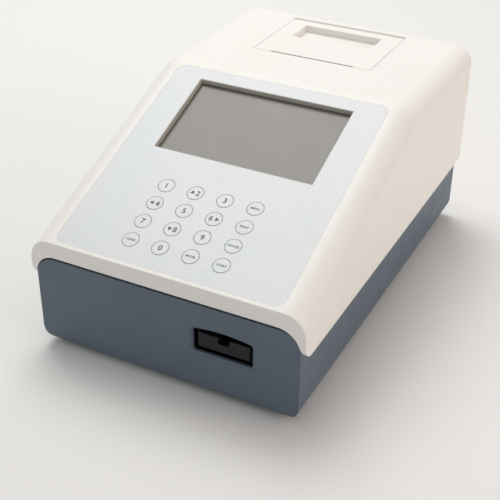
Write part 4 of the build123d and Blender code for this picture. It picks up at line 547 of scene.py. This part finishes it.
def circuit_board():
    """Glass-epoxy board under green solder mask: copper tracks lighter green, tinned pads pale."""
    pad_spacing_mm = 5.0
    pad_share = 0.09
    flow_mm = 3.0
    material, tree, place = start_material("circuit_board")
    tracks = add_node(
        tree, "ShaderNodeTexBrick",
        {"Vector": place, "Color1": linear("#0F5B36"), "Color2": linear("#0C4F2F"),
         "Mortar": linear("#2C8A57"), "Scale": 1.0, "Mortar Size": 0.14, "Mortar Smooth": 0.1,
         "Brick Width": 9.0, "Row Height": 1.8},
        offset=0.37, squash=0.6,
    )
    pads = add_node(tree, "ShaderNodeTexVoronoi", {"Vector": place, "Scale": 1 / pad_spacing_mm})
    pad = add_node(tree, "ShaderNodeMath", {0: pads, 1: pad_share}, operation="LESS_THAN")
    colour = add_node(
        tree, "ShaderNodeMix",
        {0: pad, FIRST: tracks, SECOND: linear("#C9BE93")}, data_type="RGBA",
    )
    flow = add_node(tree, "ShaderNodeTexNoise", {"Vector": place, "Scale": 1 / flow_mm})
    roughness = add_node(tree, "ShaderNodeMapRange", {"Value": flow, "To Min": 0.24, "To Max": 0.42})
    relief = add_node(
        tree, "ShaderNodeBump", {"Height": tracks.outputs["Fac"], "Strength": 1.0, "Distance": 0.03 * MM}
    )
    shader = add_node(tree, "ShaderNodeBsdfPrincipled", {
        "Base Color": colour, "Roughness": roughness, "IOR": 1.55, "Normal": relief,
    })
    add_node(tree, "ShaderNodeOutputMaterial", {"Surface": shader})
    return material


def thermal_paper():
    """Coated paper wound on its core: smooth and white outside, edge lines of the turns on both ends."""
    # The turns are 0.06 mm apart; they are drawn as lines 0.6 mm apart so that they show.
    line_pitch_mm = 0.6
    fibre_mm = 2.0
    material, tree, place = start_material("thermal_paper")
    low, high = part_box("paper_roll")
    centred = add_node(
        tree, "ShaderNodeVectorMath", {0: place, 1: (low + high) / 2 / MM}, operation="SUBTRACT"
    )
    flat = add_node(tree, "ShaderNodeVectorMath", {0: centred, 1: (0.0, 1.0, 1.0)}, operation="MULTIPLY")
    radius = add_node(tree, "ShaderNodeVectorMath", {0: flat}, operation="LENGTH")
    turn = add_node(tree, "ShaderNodeMath", {0: radius, 1: 0.5 * line_pitch_mm}, operation="PINGPONG")
    lines = add_node(tree, "ShaderNodeMapRange", {"Value": turn, "From Max": 0.5 * line_pitch_mm})
    colour = add_node(
        tree, "ShaderNodeMix",
        {0: lines, FIRST: linear("#F6F6F3"), SECOND: linear("#E4E4DF")}, data_type="RGBA",
    )
    fibres = add_node(tree, "ShaderNodeTexNoise", {"Vector": place, "Scale": 1 / fibre_mm, "Detail": 3.0})
    roughness = add_node(tree, "ShaderNodeMapRange", {"Value": fibres, "To Min": 0.45, "To Max": 0.66})
    relief = add_node(tree, "ShaderNodeBump", {"Height": lines, "Strength": 1.0, "Distance": 0.03 * MM})
    shader = add_node(tree, "ShaderNodeBsdfPrincipled", {
        "Base Color": colour, "Roughness": roughness, "IOR": 1.45, "Normal": relief,
    })
    add_node(tree, "ShaderNodeOutputMaterial", {"Surface": shader})
    return material


def core_card():
    """Spiral-wound card: brown fibre with slanting plies."""
    fibre_mm = 0.5
    slant = radians(35)
    material, tree, place = start_material("core_card")
    slanted = add_node(tree, "ShaderNodeMapping", {"Vector": place, "Rotation": (0, 0, slant)})
    plies = add_node(
        tree, "ShaderNodeTexWave", {"Vector": slanted, "Scale": 0.12, "Distortion": 0.6, "Detail": 2.0}
    )
    fibres = add_node(
        tree, "ShaderNodeTexNoise", {"Vector": place, "Scale": 1 / fibre_mm, "Detail": 5.0, "Roughness": 0.7}
    )
    board = add_node(
        tree, "ShaderNodeMix",
        {0: fibres, FIRST: linear("#B79E7C"), SECOND: linear("#987E5C")}, data_type="RGBA",
    )
    colour = add_node(
        tree, "ShaderNodeMix",
        {0: plies.outputs["Fac"], FIRST: board, SECOND: linear("#A88E6B")}, data_type="RGBA",
    )
    roughness = add_node(tree, "ShaderNodeMapRange", {"Value": fibres, "To Min": 0.7, "To Max": 0.95})
    relief = add_node(tree, "ShaderNodeBump", {"Height": fibres, "Strength": 1.0, "Distance": 0.04 * MM})
    shader = add_node(
        tree, "ShaderNodeBsdfPrincipled", {"Base Color": colour, "Roughness": roughness, "Normal": relief}
    )
    add_node(tree, "ShaderNodeOutputMaterial", {"Surface": shader})
    return material


def flat_ribbon():
    """Flat flexible cable: tinned conductors side by side in a clear film."""
    wire_pitch_mm = 1.25
    wire_share = 0.22
    haze_mm = 10.0
    smear_mm = 3.0
    material, tree, place = start_material("flat_ribbon")
    axes = add_node(tree, "ShaderNodeSeparateXYZ", {"Vector": place})
    wave = add_node(
        tree, "ShaderNodeMath", {0: axes.outputs["X"], 1: 0.5 * wire_pitch_mm}, operation="PINGPONG"
    )
    wire = add_node(tree, "ShaderNodeMath", {0: wave, 1: wire_share * wire_pitch_mm}, operation="LESS_THAN")
    haze = add_node(tree, "ShaderNodeTexNoise", {"Vector": place, "Scale": 1 / haze_mm})
    film = add_node(
        tree, "ShaderNodeMix",
        {0: haze, FIRST: linear("#DBD7C8"), SECOND: linear("#C8C4B2")}, data_type="RGBA",
    )
    colour = add_node(
        tree, "ShaderNodeMix",
        {0: wire, FIRST: film, SECOND: linear("#A8AAAB")}, data_type="RGBA",
    )
    smears = add_node(tree, "ShaderNodeTexNoise", {"Vector": place, "Scale": 1 / smear_mm})
    roughness = add_node(tree, "ShaderNodeMapRange", {"Value": smears, "To Min": 0.2, "To Max": 0.42})
    relief = add_node(tree, "ShaderNodeBump", {"Height": wire, "Strength": 1.0, "Distance": 0.04 * MM})
    shader = add_node(tree, "ShaderNodeBsdfPrincipled", {
        "Base Color": colour, "Roughness": roughness, "IOR": 1.57, "Normal": relief,
    })
    add_node(tree, "ShaderNodeOutputMaterial", {"Surface": shader})
    return material


def dress(finishes):
    """Put a finish on each carried-over piece by the material slot that the record gives it."""
    for row in frame["record"]["subparts"]:
        if row["material_slot"] in finishes:
            set_finish(frame["nodes"][row["node"]], finishes[row["material_slot"]])


def set_finish(piece, finish):
    """Give a piece one finish all over."""
    piece.data.materials.clear()
    piece.data.materials.append(finish)


def extent(piece, axis):
    """Lowest and highest place of a piece along an axis."""
    along = [vertex.co.dot(axis) for vertex in piece.data.vertices]
    return min(along), max(along)


def key_top(key):
    """The middle of a key's top: x to the right, y up the slope, z out of the panel."""
    across = sum(extent(key, RIGHT)) / 2
    climb = sum(extent(key, UP_SLOPE)) / 2
    top = extent(key, NORMAL)[1]
    turn = Matrix((RIGHT, UP_SLOPE, NORMAL)).transposed().to_4x4()
    return Matrix.Translation(across * RIGHT + climb * UP_SLOPE + top * NORMAL) @ turn


def take(piece):
    """Leave only this piece selected, and active."""
    bpy.ops.object.select_all(action="DESELECT")
    piece.select_set(True)
    bpy.context.view_layer.objects.active = piece


def flat_text(letters, height, weight, thickness):
    """Letters as a closed mesh, centred on the origin; height is that of a capital."""
    bpy.ops.object.select_all(action="DESELECT")
    bpy.ops.object.text_add()
    text = bpy.context.object
    text.data.body = letters
    text.data.size = height / CAPITAL_SHARE
    text.data.offset = weight
    text.data.extrude = thickness
    bpy.ops.object.convert(target="MESH")
    bpy.ops.object.origin_set(type="ORIGIN_GEOMETRY", center="BOUNDS")
    text.location = (0, 0, 0)
    bpy.ops.object.transform_apply()
    return text


def raise_print(thickness):
    """Give the flat print in edit mode its thickness, and turn its faces outwards."""
    bpy.ops.mesh.select_all(action="SELECT")
    bpy.ops.mesh.extrude_region_move(TRANSFORM_OT_translate={"value": (0, 0, thickness)})
    bpy.ops.mesh.select_all(action="SELECT")
    bpy.ops.mesh.normals_make_consistent(inside=False)
    bpy.ops.object.mode_set(mode="OBJECT")
    return bpy.context.object


def arrow(radius, turn, thickness):
    """A solid arrowhead, turned to point its way."""
    bpy.ops.object.select_all(action="DESELECT")
    bpy.ops.mesh.primitive_circle_add(
        vertices=ARROW_SIDES, radius=radius, fill_type="NGON", rotation=(0, 0, turn)
    )
    bpy.ops.object.transform_apply()
    bpy.ops.object.mode_set(mode="EDIT")
    return raise_print(thickness)


def ring(radius, width, thickness):
    """A thin ring: a disc is inset by the ring's width and its middle is taken out."""
    bpy.ops.object.select_all(action="DESELECT")
    bpy.ops.mesh.primitive_circle_add(vertices=RING_SIDES, radius=radius, fill_type="NGON")
    bpy.ops.object.mode_set(mode="EDIT")
    bpy.ops.mesh.select_all(action="SELECT")
    bpy.ops.mesh.inset(thickness=width)
    bpy.ops.mesh.delete(type="FACE")
    return raise_print(thickness)


def shift(piece, x):
    """Move a flat piece sideways and keep its object at the origin."""
    take(piece)
    piece.location.x = x
    bpy.ops.object.transform_apply()


def print_on_key(parts, name, ink, key):
    """Join flat parts into one print of one ink, and lay it on a key's top, where it rides on the key."""
    take(parts[0])
    for part in parts:
        part.select_set(True)
    if len(parts) > 1:
        bpy.ops.object.join()
    made = bpy.context.object
    made.name = name
    made.data.name = name
    set_finish(made, ink)
    made.data.transform(key_top(frame["nodes"][key]))
    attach(made, key)


class ANALYZER_OT_casing(bpy.types.Operator):
    """Finish the cover, the lid, the base, the tray and the feet"""

    bl_idname = "analyzer.casing"
    bl_label = "Casing"

    def execute(self, context):
        casing = context.scene.analyzer_casing
        dress({
            "cover_plastic": cover_abs(casing),
            "tub_plastic": tub_abs(casing),
            "tray_plastic": tray_abs(casing),
            "foot_rubber": foot_rubber(),
        })
        return {"FINISHED"}


class ANALYZER_OT_panel_film(bpy.types.Operator):
    """Finish the keypad film, its keys and the display"""

    bl_idname = "analyzer.panel_film"
    bl_label = "Panel film and display"

    def execute(self, context):
        panel = context.scene.analyzer_panel
        dress({
            "overlay_film": keypad_film(panel),
            "circuit_film": circuit_film(),
            "display_glass": display_glass(panel),
            "light_guide": light_guide(),
            "dome_steel": dome_steel(),
            "gasket_foam": gasket_foam(),
        })
        return {"FINISHED"}


class ANALYZER_OT_key_captions(bpy.types.Operator):
    """Print the ring and the caption on each key"""

    bl_idname = "analyzer.key_captions"
    bl_label = "Key captions"

    def execute(self, context):
        panel = context.scene.analyzer_panel
        dark, pale = caption_ink(panel), ring_ink(panel)
        for digit in DIGITS:
            parts = [flat_text(digit, panel.digit_height, panel.digit_weight, panel.ink_height)]
            if digit in ARROWS:
                turn, side = ARROWS[digit]
                parts.append(arrow(panel.arrow_radius, radians(turn), panel.ink_height))
                shift(parts[0], -side * panel.arrow_gap / 2)
                shift(parts[1], side * panel.arrow_gap / 2)
            self.finish_key("key_" + digit, parts, dark, pale, panel)
        for word in WORDS:
            parts = [flat_text(word.upper(), panel.word_height, panel.word_weight, panel.ink_height)]
            self.finish_key("key_" + word, parts, dark, pale, panel)
        return {"FINISHED"}

    def finish_key(self, key, parts, dark, pale, panel):
        """Print the caption, and a ring just inside the key's edge."""
        print_on_key(parts, key + "_caption", dark, key)
        low, high = extent(frame["nodes"][key], RIGHT)
        edge = ring((high - low) / 2 - panel.ring_inset, panel.ring_width, panel.ink_height)
        print_on_key([edge], key + "_ring", pale, key)


class ANALYZER_OT_electronics(bpy.types.Operator):
    """Finish the boards, the cables, the drives and the connectors"""

    bl_idname = "analyzer.electronics"
    bl_label = "Electronics and drives"

    def execute(self, context):
        dress({
            "steel": plated_steel(),
            "circuit_board": circuit_board(),
            "black_moulding": component_nylon(),
            "gear_plastic": gear_acetal(),
            "reference_white": reference_ptfe(),
            "lens_glass": lens_glass(),
            "lamp_resin": lamp_epoxy(),
            "ribbon": flat_ribbon(),
            "switch_black": switch_abs(),
        })
        return {"FINISHED"}


class ANALYZER_OT_printer(bpy.types.Operator):
    """Finish the paper, its core and the printer's head and platen"""

    bl_idname = "analyzer.printer"
    bl_label = "Printer"

    def execute(self, context):
        dress({
            "paper": thermal_paper(),
            "card": core_card(),
            "head_ceramic": head_ceramic(),
            "platen_rubber": platen_rubber(),
        })
        return {"FINISHED"}


class ANALYZER_OT_stage(bpy.types.Operator):
    """Set up the camera, the pale floor and the soft studio light"""

    bl_idname = "analyzer.stage"
    bl_label = "Studio"

    def execute(self, context):
        studio = context.scene.analyzer_studio
        self.camera(context, studio)
        self.floor(studio)
        self.room(context, studio)
        for name, (place, side, colour) in LAMPS.items():
            self.lamp(context, name, Vector(place), side, getattr(studio, name), colour)
        context.scene.view_settings.view_transform = "Standard"
        return {"FINISHED"}

    def camera(self, context, studio):
        """The camera at the photograph's viewing angle."""
        lens = bpy.data.cameras.new("camera")
        lens.lens = studio.focal_length
        lens.sensor_width = 36.0
        lens.clip_start = 10 * MM
        stand = bpy.data.objects.new("camera", lens)
        stand.location = studio.camera_place
        level = Euler((pi / 2 - studio.camera_elevation, 0, studio.camera_azimuth)).to_matrix()
        stand.rotation_euler = (level @ Matrix.Rotation(studio.camera_roll, 3, "Z")).to_euler()
        context.scene.collection.objects.link(stand)
        context.scene.camera = stand

    def lamp(self, context, name, place, side, power, colour):
        """A square soft lamp aimed at the object."""
        light = bpy.data.lights.new(name, "AREA")
        light.shape = "SQUARE"
        light.size = side
        light.energy = power
        light.color = colour
        stand = bpy.data.objects.new(name, light)
        stand.location = place
        stand.rotation_euler = (LAMP_TARGET - place).to_track_quat("-Z", "Y").to_euler()
        context.scene.collection.objects.link(stand)

    def floor(self, studio):
        """A pale matt floor, large enough to fill the view."""
        bpy.ops.object.select_all(action="DESELECT")
        bpy.ops.mesh.primitive_plane_add(size=studio.floor_side)
        floor = bpy.context.object
        floor.name = "floor"
        material, tree, _ = start_material("pale_floor")
        shader = add_node(
            tree, "ShaderNodeBsdfPrincipled",
            {"Base Color": studio.floor_colour, "Roughness": 0.9, "Specular IOR Level": 0.1},
        )
        add_node(tree, "ShaderNodeOutputMaterial", {"Surface": shader})
        floor.data.materials.append(material)

    def room(self, context, studio):
        """Even light from all round; the camera, gloss and clear pieces see a white room."""
        context.scene.world = bpy.data.worlds.new("room")
        context.scene.world.use_nodes = True
        tree = context.scene.world.node_tree
        tree.nodes.clear()
        path = add_node(tree, "ShaderNodeLightPath", {})
        gloss = add_node(
            tree, "ShaderNodeMath",
            {0: path.outputs["Is Glossy Ray"], 1: path.outputs["Is Transmission Ray"]}, operation="MAXIMUM",
        )
        seen = add_node(
            tree, "ShaderNodeMath", {0: path.outputs["Is Camera Ray"], 1: gloss}, operation="MAXIMUM"
        )
        level = add_node(
            tree, "ShaderNodeMapRange", {"Value": seen, "To Min": studio.room_level, "To Max": 1.0}
        )
        background = add_node(tree, "ShaderNodeBackground", {"Color": (1.0, 1.0, 1.0), "Strength": level})
        add_node(tree, "ShaderNodeOutputWorld", {"Surface": background})


class ANALYZER_PT_panel(bpy.types.Panel):
    """Analyzer finish, piece by piece"""

    bl_label = "Urine analyzer"
    bl_idname = "ANALYZER_PT_panel"
    bl_space_type = "VIEW_3D"
    bl_region_type = "UI"
    bl_category = "Analyzer"

    def draw(self, context):
        for step in STEPS:
            self.layout.operator(step.bl_idname)


SETTINGS = {
    "analyzer_casing": CasingColours,
    "analyzer_panel": PanelSettings,
    "analyzer_studio": StudioSettings,
}
STEPS = [
    ANALYZER_OT_stage,
    ANALYZER_OT_casing,
    ANALYZER_OT_panel_film,
    ANALYZER_OT_key_captions,
    ANALYZER_OT_electronics,
    ANALYZER_OT_printer,
]


def register():
    for name, group in SETTINGS.items():
        bpy.utils.register_class(group)
        setattr(bpy.types.Scene, name, bpy.props.PointerProperty(type=group))
    for step in STEPS:
        bpy.utils.register_class(step)
    bpy.utils.register_class(ANALYZER_PT_panel)


def unregister():
    bpy.utils.unregister_class(ANALYZER_PT_panel)
    for step in reversed(STEPS):
        bpy.utils.unregister_class(step)
    for name, group in SETTINGS.items():
        delattr(bpy.types.Scene, name)
        bpy.utils.unregister_class(group)


def main():
    """Finish every piece in order."""
    register()
    for step in STEPS:
        group, name = step.bl_idname.split(".")
        getattr(getattr(bpy.ops, group), name)()


if __name__ == "__main__":
    main()
